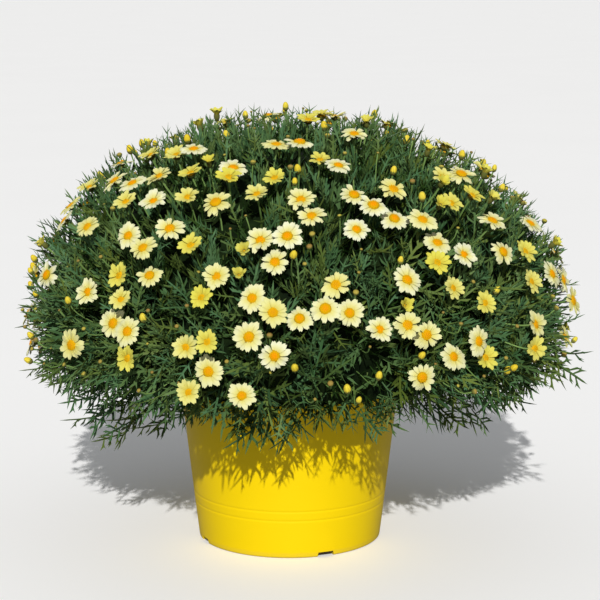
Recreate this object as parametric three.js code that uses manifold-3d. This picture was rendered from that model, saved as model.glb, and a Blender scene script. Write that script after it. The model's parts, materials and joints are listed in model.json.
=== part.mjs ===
// A potted marguerite daisy: a yellow nursery pot filled with potting soil, a short woody
// stem that forks into a dense dome of cut leaves, and pale lemon blooms on thin stalks
// all over the dome. Millimetres, +Z up, the origin on the pot's axis at the floor, the
// front of the plant towards -Y.

import * as THREE from 'three';
import { mergeVertices } from 'three/addons/utils/BufferGeometryUtils.js';
import Module from 'manifold-3d';

const wasm = await Module();
wasm.setup();

const TURN = 2 * Math.PI;
const UP = new THREE.Vector3(0, 0, 1);
const FRONT = new THREE.Vector3(0, -1, 0);
const GOLDEN_ANGLE = Math.PI * (3 - Math.sqrt(5));

// The pot, a ten-litre container with a straight taper

const POT_HEIGHT = 200;
const POT_TOP_RADIUS = 140;
const POT_BASE_RADIUS = 117;
const POT_WALL = 2.2;
const POT_FLOOR = 3;
const POT_SIDES = 40;
const LIP_HEIGHT = 9;
const LIP_REACH = 2.4;
const NOTCH_COUNT = 4;
const NOTCH_WIDTH = 25;
const NOTCH_HEIGHT = 6;
const NOTCH_NARROWING = 5;
const NOTCH_DEPTH = 12;
const FIRST_NOTCH = THREE.MathUtils.degToRad(-67);

// The soil and the woody stem that stands in it

const SOIL_LEVEL = 176;
const SOIL_CROWN = 6;
const TOUCH_GAP = 0.3;
const TRUNK_RADIUS = 12;
const TRUNK_SIDES = 8;
const TRUNK_DEPTH = 45;
const TRUNK_TOP = 212;
const FORK_RADIUS = 6;
const FORK_HEIGHT = 16;
const LEADER_RISE = 6;
const LEADER_SHARE = 0.5;
const LIMB_RADIUS = 3.2;
const LIMB_TAPER = 0.7;
const LIMB_ARCH = 18;

// The dome of foliage: the blooms lie on an ellipsoid, and the leaf mass is a thick shell under it

const DOME_CENTRE = new THREE.Vector3(10, 0, 290);
const DOME_RADIUS = 340;
const DOME_RISE = 250;
const DOME_SKIRT = 170;
const MASS_OUTSIDE = 0.74;
const MASS_INSIDE = 0.54;
const CROWN_ANGLE = THREE.MathUtils.degToRad(25);
const SKIRT_ANGLE = THREE.MathUtils.degToRad(121);
const BRANCH_COUNT = 8;
const BRANCH_COLUMNS = 4;
const BRANCH_ROWS = 8;
const CROWN_RINGS = 3;
const CROWN_SIDES = 12;
const BRANCH_GAP = 2;
const MASS_UNEVENNESS = 0.035;
const WAVES = { x: 0.045, y: 0.05, z: 0.06, slant: 0.02, startX: 1.3, startY: 0.4 };
const INSIDE_COLUMNS = 2;
const INSIDE_ROWS = 3;

// The cut leaves, and the low points of the leaf mass between them

const LEAF_LENGTH = 80;
const LEAF_ROOT = 0.17;
const LEAF_TAPER = 0.7;
const LEAF_MIDDLE = 0.48;
const LEAFLET_REACH = 21;
const LEAFLET_RISE = 16;
const LEAF_SHARE = 0.38;
const SKIRT_LEAF_SHARE = 0.6;
const SKIRT_TOP = 232;
const POINT_LENGTH = 56;
const SHORTENING = 0.75;
const LEAF_TRIES = 5;
const LEAF_VARIETY = 0.2;
const LEAF_LIFT = 0.45;
const LEAF_DROOP = 1.1;
const NEAR_A_LEAF = 240;

// The blooms and their stalks

const BLOOM_RADIUS = 16.5;
const BLOOM_VARIETY = 0.08;
const FACING_OUTWARD = 0.8;
const FACING_UP = 0.35;
const FACING_FRONT = 0.4;
const PETAL_COUNT = 8;
const PETAL_END_WIDTH = 8.6;
const PETAL_LIFT = 1.2;
const PETAL_DROP = 0.8;
const DISC_RADIUS = 5.4;
const DISC_RISE = 2.6;
const CUP_DEPTH = 4;
const STALK_RADIUS = 1.2;
const NECK_LENGTH = 10;
const STRAIGHT_ENOUGH = 0.8;
const LEAST_STALK_ANGLE = 0.16;
const PARTING_ROUNDS = 6;
const STALK_LIFTS = [12, 24, 36];
const KNEE_SHARES = [0.5, 0.3, 0.7];
const YOUNG_PETAL_COUNT = 6;
const YOUNG_DISC_SHARE = 0.66;
const YOUNG_BLOOM_RADIUS = 11.5;
const YOUNG_BLOOM_RISE = 8;
const BLOOM_SPACING = 37;
const YOUNG_SPACING = 31.45;
const UNSEEN_SPACING = 46.25;
const SPACING_ROUNDS = 40;
const SPRAY_COUNT = 48;
const GROUPING_ROUNDS = 12;
const HUB_RADIUS = 4.5;
const HUB_HEIGHT = 6;
const SEAT_NEARNESS = 0.2;
const WIDEST_SLICE = THREE.MathUtils.degToRad(60);
const WIDEST_GAP = THREE.MathUtils.degToRad(149);
const SAME_CORNER = THREE.MathUtils.degToRad(1.15);
const UNSEEN_DENSITY = 168;
const UNSEEN_YOUNG_SHARE = 0.12;
const HIDDEN_BELOW = 0.12;
const BLOOM_LOWEST = THREE.MathUtils.degToRad(108);

// The photograph's camera, to stand each bloom that it shows where it shows it

const CAMERA_PLACE = new THREE.Vector3(13.4, -2400, 720);
const CAMERA_PITCH = THREE.MathUtils.degToRad(9.8);
const CAMERA_FOCUS = 1911;
const PICTURE_CENTRE = 300;

// Open blooms in the photograph, by their pixels in it

const SEEN_BLOOMS = [
  [112, 155], [267, 111], [308, 121], [151, 156], [177, 156], [196, 156], [191, 174], [115, 181],
  [90, 188], [133, 184], [162, 183], [233, 170], [229, 184], [273, 180], [258, 190], [280, 146],
  [296, 148], [188, 198], [216, 197], [149, 199], [133, 206], [71, 206], [65, 221], [88, 227],
  [129, 236], [170, 229], [191, 246], [147, 254], [47, 275], [120, 276], [147, 271], [89, 292],
  [126, 301], [216, 282], [208, 294], [260, 245], [287, 241], [273, 258], [255, 300], [273, 312],
  [301, 200], [311, 221], [320, 161], [337, 172], [354, 195], [393, 190], [356, 230], [376, 211],
  [393, 215], [420, 226], [437, 239], [459, 258], [442, 178], [451, 204], [468, 201], [492, 221],
  [461, 174], [530, 224], [503, 252], [524, 252], [433, 266], [407, 280], [336, 285], [455, 287],
  [530, 282], [551, 274], [563, 284], [484, 303], [354, 135], [72, 345], [111, 324], [127, 334],
  [132, 354], [188, 347], [208, 342], [207, 373], [192, 388], [242, 395], [249, 337], [275, 355],
  [305, 316], [325, 312], [343, 312], [383, 329], [401, 326], [429, 335], [453, 357], [473, 341],
  [488, 359], [422, 377], [533, 329], [529, 343], [570, 337], [570, 297],
];

// Half-open blooms in the photograph, by their pixels in it

const SEEN_YOUNG_BLOOMS = [
  [41, 244], [246, 257], [238, 270], [137, 134], [199, 124], [215, 118], [208, 160], [438, 190],
  [427, 153], [480, 180], [493, 197], [546, 248], [406, 305], [436, 211], [365, 131],
];

const LOOKS = {
  pot: { color: 0xf2c400, roughness: 0.4, metalness: 0 },
  soil: { color: 0x3a2c20, roughness: 0.95, metalness: 0 },
  wood: { color: 0x6b5a3c, roughness: 0.85, metalness: 0 },
  leaves: { color: 0x33502f, roughness: 0.75, metalness: 0 },
  petals: { color: 0xf6efb4, roughness: 0.7, metalness: 0 },
};

// The traits that are drawn for a numbered thing, and room between the numbers of their owners

const TRAIT = { young: 1, bloomSize: 2, petalLift: 3, cutLeaf: 5, length: 6, turn: 7, leaflet: 10 };
const PETAL_NUMBERS = 16;
const LEAF_NUMBERS = 97;

// A repeatable draw between 0 and 1 for a numbered thing and one of its traits
function draw(index, trait) {
  const wave = Math.sin(index * 12.9898 + trait * 78.233) * 43758.5453;
  return wave - Math.floor(wave);
}

function spread(index, trait) {
  return 2 * draw(index, trait) - 1;
}

function mix(parts) {
  const sum = new THREE.Vector3();
  for (const [direction, weight] of parts) {
    sum.addScaledVector(direction, weight);
  }
  return sum.normalize();
}

function moved(point, direction, distance) {
  return point.clone().addScaledVector(direction, distance);
}

// Two directions square to an axis, the first as near as can be to a given one
function crossAxes(axis, wanted) {
  const first = wanted.clone().addScaledVector(axis, -wanted.dot(axis));
  if (first.length() < 1e-3) {
    first.set(1, 0.3, 0.2).addScaledVector(axis, -axis.x - 0.3 * axis.y - 0.2 * axis.z);
  }
  first.normalize();
  return [first, new THREE.Vector3().crossVectors(axis, first)];
}

// A point on a circle round an axis
function onCircle(centre, axes, radius, angle) {
  return moved(moved(centre, axes[0], radius * Math.cos(angle)), axes[1], radius * Math.sin(angle));
}

// Whether the edge from one point to another passes through the inside of a triangle
function edgePierces(from, to, [a, b, c]) {
  const sideB = b.clone().sub(a);
  const sideC = c.clone().sub(a);
  const edge = to.clone().sub(from);
  const across = edge.clone().cross(sideC);
  const flatness = sideB.dot(across);
  if (Math.abs(flatness) < 1e-9) {
    return false;
  }
  const start = from.clone().sub(a);
  const u = start.dot(across) / flatness;
  const turn = start.cross(sideB);
  const v = edge.dot(turn) / flatness;
  const along = sideC.dot(turn) / flatness;
  return u > 1e-6 && v > 1e-6 && u + v < 1 - 1e-6 && along > 1e-6 && along < 1 - 1e-6;
}

function trianglesCross(one, two) {
  return [0, 1, 2].some((i) => {
    const j = (i + 1) % 3;
    return edgePierces(one[i], one[j], two) || edgePierces(two[i], two[j], one);
  });
}

function anyCross(some, others) {
  const boxes = others.map((triangle) => new THREE.Box3().setFromPoints(triangle));
  return some.some((one) => {
    const box = new THREE.Box3().setFromPoints(one);
    return others.some((two, i) => box.intersectsBox(boxes[i]) && trianglesCross(one, two));
  });
}

// A closed skin of triangles that is built and drawn out face by face
class Skin {
  constructor() {
    this.points = [];
    this.faces = [];
  }

  point(place) {
    this.points.push(place);
    return this.points.length - 1;
  }

  face(a, b, c) {
    this.faces.push([a, b, c]);
    return this.faces.length - 1;
  }

  corners(face) {
    return this.faces[face].map((index) => this.points[index]);
  }

  middle(face) {
    const [a, b, c] = this.corners(face);
    return a.clone().add(b).add(c).divideScalar(3);
  }

  normal(face) {
    const [a, b, c] = this.corners(face);
    return b.clone().sub(a).cross(c.clone().sub(a)).normalize();
  }

  // Draws a face out to three new corners and returns the six faces round it
  grow(face, places) {
    const old = this.faces[face];
    const fresh = places.map((place) => this.point(place));
    this.faces[face] = fresh;
    const sides = [];
    for (let i = 0; i < 3; i += 1) {
      const j = (i + 1) % 3;
      sides.push(this.face(old[i], old[j], fresh[j]));
      sides.push(this.face(old[i], fresh[j], fresh[i]));
    }
    return sides;
  }

  // Draws a face out to one point
  spike(face, tip) {
    const [a, b, c] = this.faces[face];
    const top = this.point(tip);
    this.faces[face] = [a, b, top];
    this.face(b, c, top);
    this.face(c, a, top);
  }

  // Whether a spike from a face to a tip would keep clear of the skin and of other triangles
  spikeIsClear(face, tip, others) {
    const [a, b, c] = this.corners(face);
    const fresh = [[a, b, tip], [b, c, tip], [c, a, tip]];
    return !anyCross(fresh, this.triangles()) && !anyCross(fresh, others);
  }

  copy() {
    const twin = new Skin();
    twin.points = [...this.points];
    twin.faces = [...this.faces];
    return twin;
  }

  triangles(from = 0) {
    return this.faces.slice(from).filter((face) => face !== null)
      .map((face) => face.map((index) => this.points[index]));
  }

  // Joins two rows of points side by side, the second row on the left of the first, and
  // returns the faces that lie along the second row
  bridge(low, high) {
    const along = [];
    let i = 0;
    let j = 0;
    while (i < low.length - 1 || j < high.length - 1) {
      const lowShare = (i + 0.5) / (low.length - 1);
      const highShare = (j + 0.5) / (high.length - 1);
      if (j === high.length - 1 || (i < low.length - 1 && lowShare <= highShare)) {
        this.face(low[i], low[i + 1], high[j]);
        i += 1;
      } else {
        along.push(this.face(low[i], high[j + 1], high[j]));
        j += 1;
      }
    }
    return along;
  }

  // Opens a face out into a ring of points and returns the faces along the ring
  open(face, ring) {
    const old = this.faces[face];
    this.faces[face] = null;
    return this.bridge([...old, old[0]], [...ring, ring[0]]);
  }

  // Draws a face out into a wedge whose sharp end faces its second side
  wedge(face, left, right) {
    const [keel, second, first] = this.faces[face];
    this.faces[face] = [keel, right, left];
    this.face(first, left, right);
    this.face(first, right, second);
    this.face(first, keel, left);
    this.face(second, right, keel);
  }

  geometry() {
    const geometry = new THREE.BufferGeometry();
    geometry.setAttribute(
      'position',
      new THREE.Float32BufferAttribute(this.points.flatMap((p) => p.toArray()), 3),
    );
    geometry.setIndex(this.faces.filter((face) => face !== null).flat());
    return geometry;
  }
}

// Pot and soil

function toSolid(geometry) {
  const bare = geometry.clone();
  bare.deleteAttribute('normal');
  bare.deleteAttribute('uv');
  const merged = mergeVertices(bare, 1e-4);
  return new wasm.Manifold(new wasm.Mesh({
    numProp: 3,
    vertProperties: new Float32Array(merged.attributes.position.array),
    triVerts: new Uint32Array(merged.index.array),
  }));
}

function fromSolid(solid) {
  const mesh = solid.getMesh();
  const geometry = new THREE.BufferGeometry();
  geometry.setAttribute('position', new THREE.Float32BufferAttribute(mesh.vertProperties, 3));
  geometry.setIndex([...mesh.triVerts]);
  return geometry;
}

function turned(profile) {
  const points = profile.map(([radius, height]) => new THREE.Vector2(radius, height));
  return new THREE.LatheGeometry(points, POT_SIDES).rotateX(Math.PI / 2);
}

function potRadius(height) {
  return POT_BASE_RADIUS + (POT_TOP_RADIUS - POT_BASE_RADIUS) * (height / POT_HEIGHT);
}

// A drainage notch through the wall at the foot, wider at the floor
function notchCutter(angle) {
  const half = NOTCH_WIDTH / 2;
  const outline = new THREE.Shape([
    new THREE.Vector2(-half, -NOTCH_HEIGHT),
    new THREE.Vector2(half, -NOTCH_HEIGHT),
    new THREE.Vector2(half - NOTCH_NARROWING / 2, NOTCH_HEIGHT),
    new THREE.Vector2(-half + NOTCH_NARROWING / 2, NOTCH_HEIGHT),
  ]);
  const cutter = new THREE.ExtrudeGeometry(outline, { depth: 2 * NOTCH_DEPTH, bevelEnabled: false });
  cutter.rotateX(Math.PI / 2);
  cutter.translate(0, -(POT_BASE_RADIUS - NOTCH_DEPTH), 0);
  cutter.rotateZ(angle);
  return toSolid(cutter);
}

function potGeometry() {
  const lipFoot = POT_HEIGHT - LIP_HEIGHT;
  const profile = [
    [0, 0],
    [POT_BASE_RADIUS, 0],
    [potRadius(lipFoot), lipFoot],
    [potRadius(lipFoot) + LIP_REACH, lipFoot + LIP_REACH],
    [POT_TOP_RADIUS + LIP_REACH, POT_HEIGHT],
    [POT_TOP_RADIUS - POT_WALL, POT_HEIGHT],
    [potRadius(POT_FLOOR) - POT_WALL, POT_FLOOR],
    [0, POT_FLOOR],
  ];
  let solid = toSolid(turned(profile));
  for (let i = 0; i < NOTCH_COUNT; i += 1) {
    solid = solid.subtract(notchCutter(FIRST_NOTCH + (TURN * i) / NOTCH_COUNT));
  }
  return fromSolid(solid);
}

function soilGeometry() {
  const floor = POT_FLOOR + TOUCH_GAP;
  const wall = (height) => potRadius(height) - POT_WALL - TOUCH_GAP;
  const hole = TRUNK_RADIUS + TOUCH_GAP;
  const top = SOIL_LEVEL + SOIL_CROWN;
  return turned([
    [0, floor],
    [wall(floor), floor],
    [wall(SOIL_LEVEL), SOIL_LEVEL],
    [wall(SOIL_LEVEL) / 2, SOIL_LEVEL + SOIL_CROWN / 2],
    [hole, top],
    [hole, top - TRUNK_DEPTH],
    [0, top - TRUNK_DEPTH],
  ]);
}

// The dome

function domePoint(azimuth, polar, scale) {
  const rise = polar < Math.PI / 2 ? DOME_RISE : DOME_SKIRT;
  const reach = DOME_RADIUS * scale * Math.sin(polar);
  return new THREE.Vector3(
    DOME_CENTRE.x + reach * Math.cos(azimuth),
    DOME_CENTRE.y + reach * Math.sin(azimuth),
    DOME_CENTRE.z + rise * scale * Math.cos(polar),
  );
}

function domeNormal(point) {
  const away = point.clone().sub(DOME_CENTRE);
  const rise = away.z > 0 ? DOME_RISE : DOME_SKIRT;
  return new THREE.Vector3(
    away.x / DOME_RADIUS ** 2,
    away.y / DOME_RADIUS ** 2,
    away.z / rise ** 2,
  ).normalize();
}

// Where the line of sight through a pixel meets the dome, or passes nearest to it
function seenOnDome(x, y) {
  const across = (x - PICTURE_CENTRE) / CAMERA_FOCUS;
  const down = (y - PICTURE_CENTRE) / CAMERA_FOCUS;
  const sight = new THREE.Vector3(
    across,
    Math.cos(CAMERA_PITCH) - down * Math.sin(CAMERA_PITCH),
    -Math.sin(CAMERA_PITCH) - down * Math.cos(CAMERA_PITCH),
  );
  const meet = (rise) => {
    const squash = new THREE.Vector3(1 / DOME_RADIUS, 1 / DOME_RADIUS, 1 / rise);
    const start = CAMERA_PLACE.clone().sub(DOME_CENTRE).multiply(squash);
    const along = sight.clone().multiply(squash);
    const square = along.lengthSq();
    const half = start.dot(along);
    const rest = half * half - square * (start.lengthSq() - 1);
    const travel = (-half - Math.sqrt(Math.max(rest, 0))) / square;
    const onSphere = start.addScaledVector(along, travel).normalize();
    return onSphere.divide(squash).add(DOME_CENTRE);
  };
  const upper = meet(DOME_RISE);
  return upper.z >= DOME_CENTRE.z ? upper : meet(DOME_SKIRT);
}

// Blooms: those that the photograph shows, then the far side by an even spiral

function placeBlooms() {
  const blooms = [];
  const add = (centre, young, seen) => blooms.push({ centre, young, seen });
  SEEN_BLOOMS.forEach(([x, y]) => add(seenOnDome(x, y), false, true));
  SEEN_YOUNG_BLOOMS.forEach(([x, y]) => add(seenOnDome(x, y), true, true));
  for (let i = 0; i < UNSEEN_DENSITY; i += 1) {
    const place = domePoint(i * GOLDEN_ANGLE, spiralPolar(i, UNSEEN_DENSITY), 1);
    const toCamera = CAMERA_PLACE.clone().sub(place).normalize();
    const hidden = domeNormal(place).dot(toCamera) < HIDDEN_BELOW;
    const alone = blooms.every((bloom) => bloom.centre.distanceTo(place) > UNSEEN_SPACING);
    if (hidden && alone) {
      add(place, draw(i, TRAIT.young) < UNSEEN_YOUNG_SHARE, false);
    }
  }
  spaceBlooms(blooms);
  blooms.forEach((bloom, i) => {
    bloom.index = i;
    bloom.facing = mix([
      [domeNormal(bloom.centre), FACING_OUTWARD],
      [UP, FACING_UP],
      [FRONT, bloom.seen ? FACING_FRONT : 0],
    ]);
    bloom.radius = BLOOM_RADIUS * (1 + BLOOM_VARIETY * spread(i, TRAIT.bloomSize));
    bloom.foot = moved(bloom.centre, bloom.facing, -CUP_DEPTH);
  });
  return blooms;
}

// The polar angle of one of a number of points that are spread evenly over the dome in a spiral
function spiralPolar(index, count) {
  return Math.acos(1 - ((index + 0.5) / count) * (1 - Math.cos(BLOOM_LOWEST)));
}

// Moves blooms apart until no two touch
function spaceBlooms(blooms) {
  for (let round = 0; round < SPACING_ROUNDS; round += 1) {
    for (let i = 0; i < blooms.length; i += 1) {
      for (let j = i + 1; j < blooms.length; j += 1) {
        const apart = blooms[j].centre.clone().sub(blooms[i].centre);
        const room = blooms[i].young || blooms[j].young ? YOUNG_SPACING : BLOOM_SPACING;
        const lack = room - apart.length();
        if (lack > 0) {
          apart.normalize();
          blooms[i].centre.addScaledVector(apart, -lack / 2);
          blooms[j].centre.addScaledVector(apart, lack / 2);
        }
      }
    }
  }
}

// One bloom on the end face of its stalk: petals whose roots make the cup, and a domed disc
function growBloom(skin, face, bloom, axes) {
  const count = bloom.young ? YOUNG_PETAL_COUNT : PETAL_COUNT;
  const discRadius = DISC_RADIUS * (bloom.young ? YOUNG_DISC_SHARE : 1);
  const pitch = TURN / count;
  const rim = [];
  for (let i = 0; i < count; i += 1) {
    rim.push(skin.point(onCircle(bloom.centre, axes, discRadius, (i - 0.5) * pitch)));
  }
  const roots = skin.open(face, rim);
  const top = skin.point(moved(bloom.centre, bloom.facing, DISC_RISE));
  for (let i = 0; i < count; i += 1) {
    skin.face(rim[i], rim[(i + 1) % count], top);
    if (bloom.young) {
      const reach = onCircle(bloom.centre, axes, YOUNG_BLOOM_RADIUS, i * pitch);
      skin.spike(roots[i], moved(reach, bloom.facing, YOUNG_BLOOM_RISE));
    } else {
      const number = bloom.index * PETAL_NUMBERS + i;
      const lift = PETAL_LIFT * spread(number, TRAIT.petalLift) - PETAL_DROP;
      const lean = PETAL_END_WIDTH / 2 / bloom.radius;
      const end = moved(bloom.centre, bloom.facing, lift);
      const left = skin.point(onCircle(end, axes, bloom.radius, i * pitch - lean));
      const right = skin.point(onCircle(end, axes, bloom.radius, i * pitch + lean));
      skin.wedge(roots[i], left, right);
    }
  }
}

// The corners of a stalk's section, square to an axis and turned to match the face it grows from
function stalkSection(skin, face, centre, axis, radius) {
  const wanted = skin.corners(face)[0].clone().sub(skin.middle(face));
  const axes = crossAxes(axis, wanted);
  return { axes, corners: [0, 1, 2].map((i) => onCircle(centre, axes, radius, (i * TURN) / 3)) };
}

// Where a spray's foot has its corners, so that every stalk keeps to its own slice round the foot
function footCorners(angles) {
  const count = angles.length;
  const corners = [];
  const faces = [];
  angles.forEach((angle, i) => {
    const before = angles[(i + count - 1) % count] - (i === 0 ? TURN : 0);
    const after = angles[(i + 1) % count] + (i === count - 1 ? TURN : 0);
    const from = Math.max((before + angle) / 2, angle - WIDEST_SLICE);
    const to = Math.min((angle + after) / 2, angle + WIDEST_SLICE);
    const shared = corners.length > 0 && from - corners[corners.length - 1] < SAME_CORNER;
    if (!shared) {
      corners.push(from);
    }
    faces.push(corners.length - 1);
    const closes = i === count - 1 && corners[0] + TURN - to < SAME_CORNER;
    if (!closes) {
      corners.push(to);
    }
  });
  const gap = corners[0] + TURN - corners[corners.length - 1];
  if (gap > WIDEST_GAP) {
    corners.push(corners[corners.length - 1] + gap / 2);
  }
  return { corners, faces };
}

// The blooms of a spray in turn round its foot, each with the neck of its stalk and its angle
function roundFoot(seat, blooms) {
  const axes = crossAxes(seat.normal, UP);
  const turns = blooms.map((bloom) => {
    const neck = moved(bloom.foot, bloom.facing, -NECK_LENGTH);
    const away = neck.clone().sub(seat.place);
    return { bloom, neck, angle: Math.atan2(away.dot(axes[1]), away.dot(axes[0])) };
  });
  return turns.sort((a, b) => a.angle - b.angle);
}

// Turns blooms that lie in line from the foot a little apart round it
function partBlooms(seat, blooms) {
  for (let round = 0; round < PARTING_ROUNDS; round += 1) {
    const turns = roundFoot(seat, blooms);
    turns.forEach((turn, i) => {
      const next = turns[(i + 1) % turns.length];
      const gap = next.angle - turn.angle + (i === turns.length - 1 ? TURN : 0);
      const lack = LEAST_STALK_ANGLE - gap;
      if (turns.length > 1 && lack > 0) {
        for (const [bloom, angle] of [[turn.bloom, -lack / 2], [next.bloom, lack / 2]]) {
          for (const point of [bloom.centre, bloom.foot]) {
            point.sub(seat.place).applyAxisAngle(seat.normal, angle).add(seat.place);
          }
        }
      }
    });
  }
}

// A spray: one small foot on the leaf mass and a stalk with its bloom for each of its blooms
function spraySkin(spray, ground) {
  const { seat, blooms } = spray;
  const axes = crossAxes(seat.normal, UP);
  const foot = moved(seat.place, seat.normal, TOUCH_GAP);
  const turns = roundFoot(seat, blooms);
  const { corners, faces } = footCorners(turns.map((entry) => entry.angle));
  let skin = new Skin();
  const ring = corners.map((angle) => skin.point(onCircle(foot, axes, HUB_RADIUS, angle)));
  const top = skin.point(moved(foot, seat.normal, HUB_HEIGHT));
  for (let i = 1; i < ring.length - 1; i += 1) {
    skin.face(ring[0], ring[i + 1], ring[i]);
  }
  const slices = ring.map((corner, i) => skin.face(top, corner, ring[(i + 1) % ring.length]));
  turns.forEach(({ bloom, neck }, i) => {
    const face = slices[faces[i]];
    const start = skin.middle(face);
    const straight = bloom.foot.clone().sub(start).normalize().dot(bloom.facing);
    const routes = straight < STRAIGHT_ENOUGH ? [[neck], []] : [[], [neck]];
    for (const lift of STALK_LIFTS) {
      for (const share of KNEE_SHARES) {
        routes.push([start.clone().lerp(neck, share).addScaledVector(seat.normal, lift), neck]);
      }
    }
    const taken = [...skin.triangles(), ...ground];
    const clear = routes.find((bends) => {
      const trial = growStalk(skin, face, start, bends, bloom);
      const fresh = trial.triangles(skin.faces.length);
      return !anyCross(fresh, taken) && !anyCross(fresh, fresh);
    });
    skin = growStalk(skin, face, start, clear ?? routes[0], bloom);
  });
  return skin;
}

// A stalk through its bends to the foot of its bloom, and the bloom, on a copy of a skin
function growStalk(skin, face, start, bends, bloom) {
  const twin = skin.copy();
  const route = [start, ...bends, bloom.foot];
  for (let i = 1; i < route.length - 1; i += 1) {
    const before = route[i].clone().sub(route[i - 1]).normalize();
    const after = route[i + 1].clone().sub(route[i]).normalize();
    const axis = mix([[before, 1], [after, 1]]);
    twin.grow(face, stalkSection(twin, face, route[i], axis, STALK_RADIUS).corners);
  }
  const end = stalkSection(twin, face, bloom.foot, bloom.facing, STALK_RADIUS);
  twin.grow(face, end.corners);
  growBloom(twin, face, bloom, end.axes);
  return twin;
}

// The leaf mass: a crown on top and eight branches round it, each a thick piece of shell

function unevenness(point) {
  const { x, y, z } = point;
  const wave = Math.sin(x * WAVES.x + WAVES.startX) * Math.cos(y * WAVES.y + WAVES.startY);
  return 1 + MASS_UNEVENNESS * (wave + Math.sin(z * WAVES.z + x * WAVES.slant));
}

function massPoint(azimuth, polar) {
  const even = domePoint(azimuth, polar, MASS_OUTSIDE);
  return domePoint(azimuth, polar, MASS_OUTSIDE * unevenness(even));
}

// A branch: its outside is a net of facets for leaves and feet, its inside is coarse
function branchSkin(index) {
  const skin = new Skin();
  const middle = (index * TURN) / BRANCH_COUNT;
  const halfWidth = Math.PI / BRANCH_COUNT;
  const place = (column, columns, polar, outside) => {
    const side = (2 * column) / columns - 1;
    const azimuth = middle + halfWidth * side;
    const point = outside ? massPoint(azimuth, polar) : domePoint(azimuth, polar, MASS_INSIDE);
    const inward = new THREE.Vector3(-Math.sin(azimuth), Math.cos(azimuth), 0);
    const atEdge = column === 0 || column === columns;
    return atEdge ? moved(point, inward, (-side * BRANCH_GAP) / 2) : point;
  };
  const grid = (columns, rows, outside) => {
    const net = [];
    for (let row = 0; row <= rows; row += 1) {
      const polar = CROWN_ANGLE + ((SKIRT_ANGLE - CROWN_ANGLE) * row) / rows;
      net.push([]);
      for (let column = 0; column <= columns; column += 1) {
        net[row].push(skin.point(place(column, columns, polar, outside)));
      }
    }
    return net;
  };
  const outer = grid(BRANCH_COLUMNS, BRANCH_ROWS, true);
  const inner = grid(INSIDE_COLUMNS, INSIDE_ROWS, false);
  const facets = [];
  const quads = (net, outward, keep) => {
    for (let row = 0; row < net.length - 1; row += 1) {
      for (let column = 0; column < net[row].length - 1; column += 1) {
        const a = net[row][column];
        const b = net[row + 1][column];
        const c = net[row + 1][column + 1];
        const d = net[row][column + 1];
        const halves = (row + column) % 2 === 0 ? [[a, b, c], [a, c, d]] : [[a, b, d], [b, c, d]];
        for (const half of halves) {
          keep.push(skin.face(...(outward ? half : half.reverse())));
        }
      }
    }
  };
  const inside = [];
  quads(outer, true, facets);
  quads(inner, false, inside);
  const side = (net, column) => net.map((row) => row[column]);
  skin.bridge(side(outer, BRANCH_COLUMNS), side(inner, INSIDE_COLUMNS));
  skin.bridge(side(outer, 0).reverse(), side(inner, 0).reverse());
  skin.bridge(outer[0], inner[0]);
  skin.bridge([...outer[BRANCH_ROWS]].reverse(), [...inner[INSIDE_ROWS]].reverse());
  return { skin, facets, inside };
}

// Whether a point lies in the slice of the dome that a branch fills
function inSlice(point, index) {
  const middle = (index * TURN) / BRANCH_COUNT;
  const away = point.clone().sub(DOME_CENTRE);
  const turn = Math.atan2(away.y, away.x) - middle;
  const offset = Math.atan2(Math.sin(turn), Math.cos(turn));
  const margin = BRANCH_GAP / 2 / Math.hypot(away.x, away.y);
  return Math.abs(offset) < Math.PI / BRANCH_COUNT - margin;
}

// The crown: a cap of facets over one coarse underside
function crownSkin() {
  const skin = new Skin();
  const edge = CROWN_ANGLE - BRANCH_GAP / (DOME_RADIUS * MASS_OUTSIDE);
  const facets = [];
  const inside = [];
  const ring = (polar, outside) => {
    const row = [];
    for (let i = 0; i < CROWN_SIDES; i += 1) {
      const azimuth = (i * TURN) / CROWN_SIDES;
      const place = outside ? massPoint(azimuth, polar) : domePoint(azimuth, polar, MASS_INSIDE);
      row.push(skin.point(place));
    }
    return row;
  };
  const rings = [];
  for (let i = 1; i <= CROWN_RINGS; i += 1) {
    rings.push(ring((edge * i) / CROWN_RINGS, true));
  }
  const under = ring(edge, false);
  const top = skin.point(massPoint(0, 0));
  const bottom = skin.point(domePoint(0, 0, MASS_INSIDE));
  for (let i = 0; i < CROWN_SIDES; i += 1) {
    const next = (i + 1) % CROWN_SIDES;
    facets.push(skin.face(top, rings[0][i], rings[0][next]));
    for (let r = 0; r < CROWN_RINGS - 1; r += 1) {
      facets.push(skin.face(rings[r][i], rings[r + 1][i], rings[r + 1][next]));
      facets.push(skin.face(rings[r][i], rings[r + 1][next], rings[r][next]));
    }
    const last = rings[CROWN_RINGS - 1];
    skin.face(last[i], under[i], under[next]);
    skin.face(last[i], under[next], last[next]);
    inside.push(skin.face(bottom, under[next], under[i]));
  }
  return { skin, facets, inside };
}

// Sprays: blooms that stand near each other share a foot on the nearest free face of the leaf mass

function groupBlooms(blooms) {
  let middles = [];
  for (let i = 0; i < SPRAY_COUNT; i += 1) {
    middles.push(domePoint(i * GOLDEN_ANGLE, spiralPolar(i, SPRAY_COUNT), 1));
  }
  let groups = [];
  for (let round = 0; round < GROUPING_ROUNDS; round += 1) {
    groups = middles.map(() => []);
    for (const bloom of blooms) {
      const far = middles.map((middle) => middle.distanceTo(bloom.centre));
      groups[far.indexOf(Math.min(...far))].push(bloom);
    }
    middles = groups.map((group, i) => {
      if (group.length === 0) {
        return middles[i];
      }
      const sum = group.reduce((total, bloom) => total.add(bloom.centre), new THREE.Vector3());
      return sum.divideScalar(group.length);
    });
  }
  return groups.filter((group) => group.length > 0);
}

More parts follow.
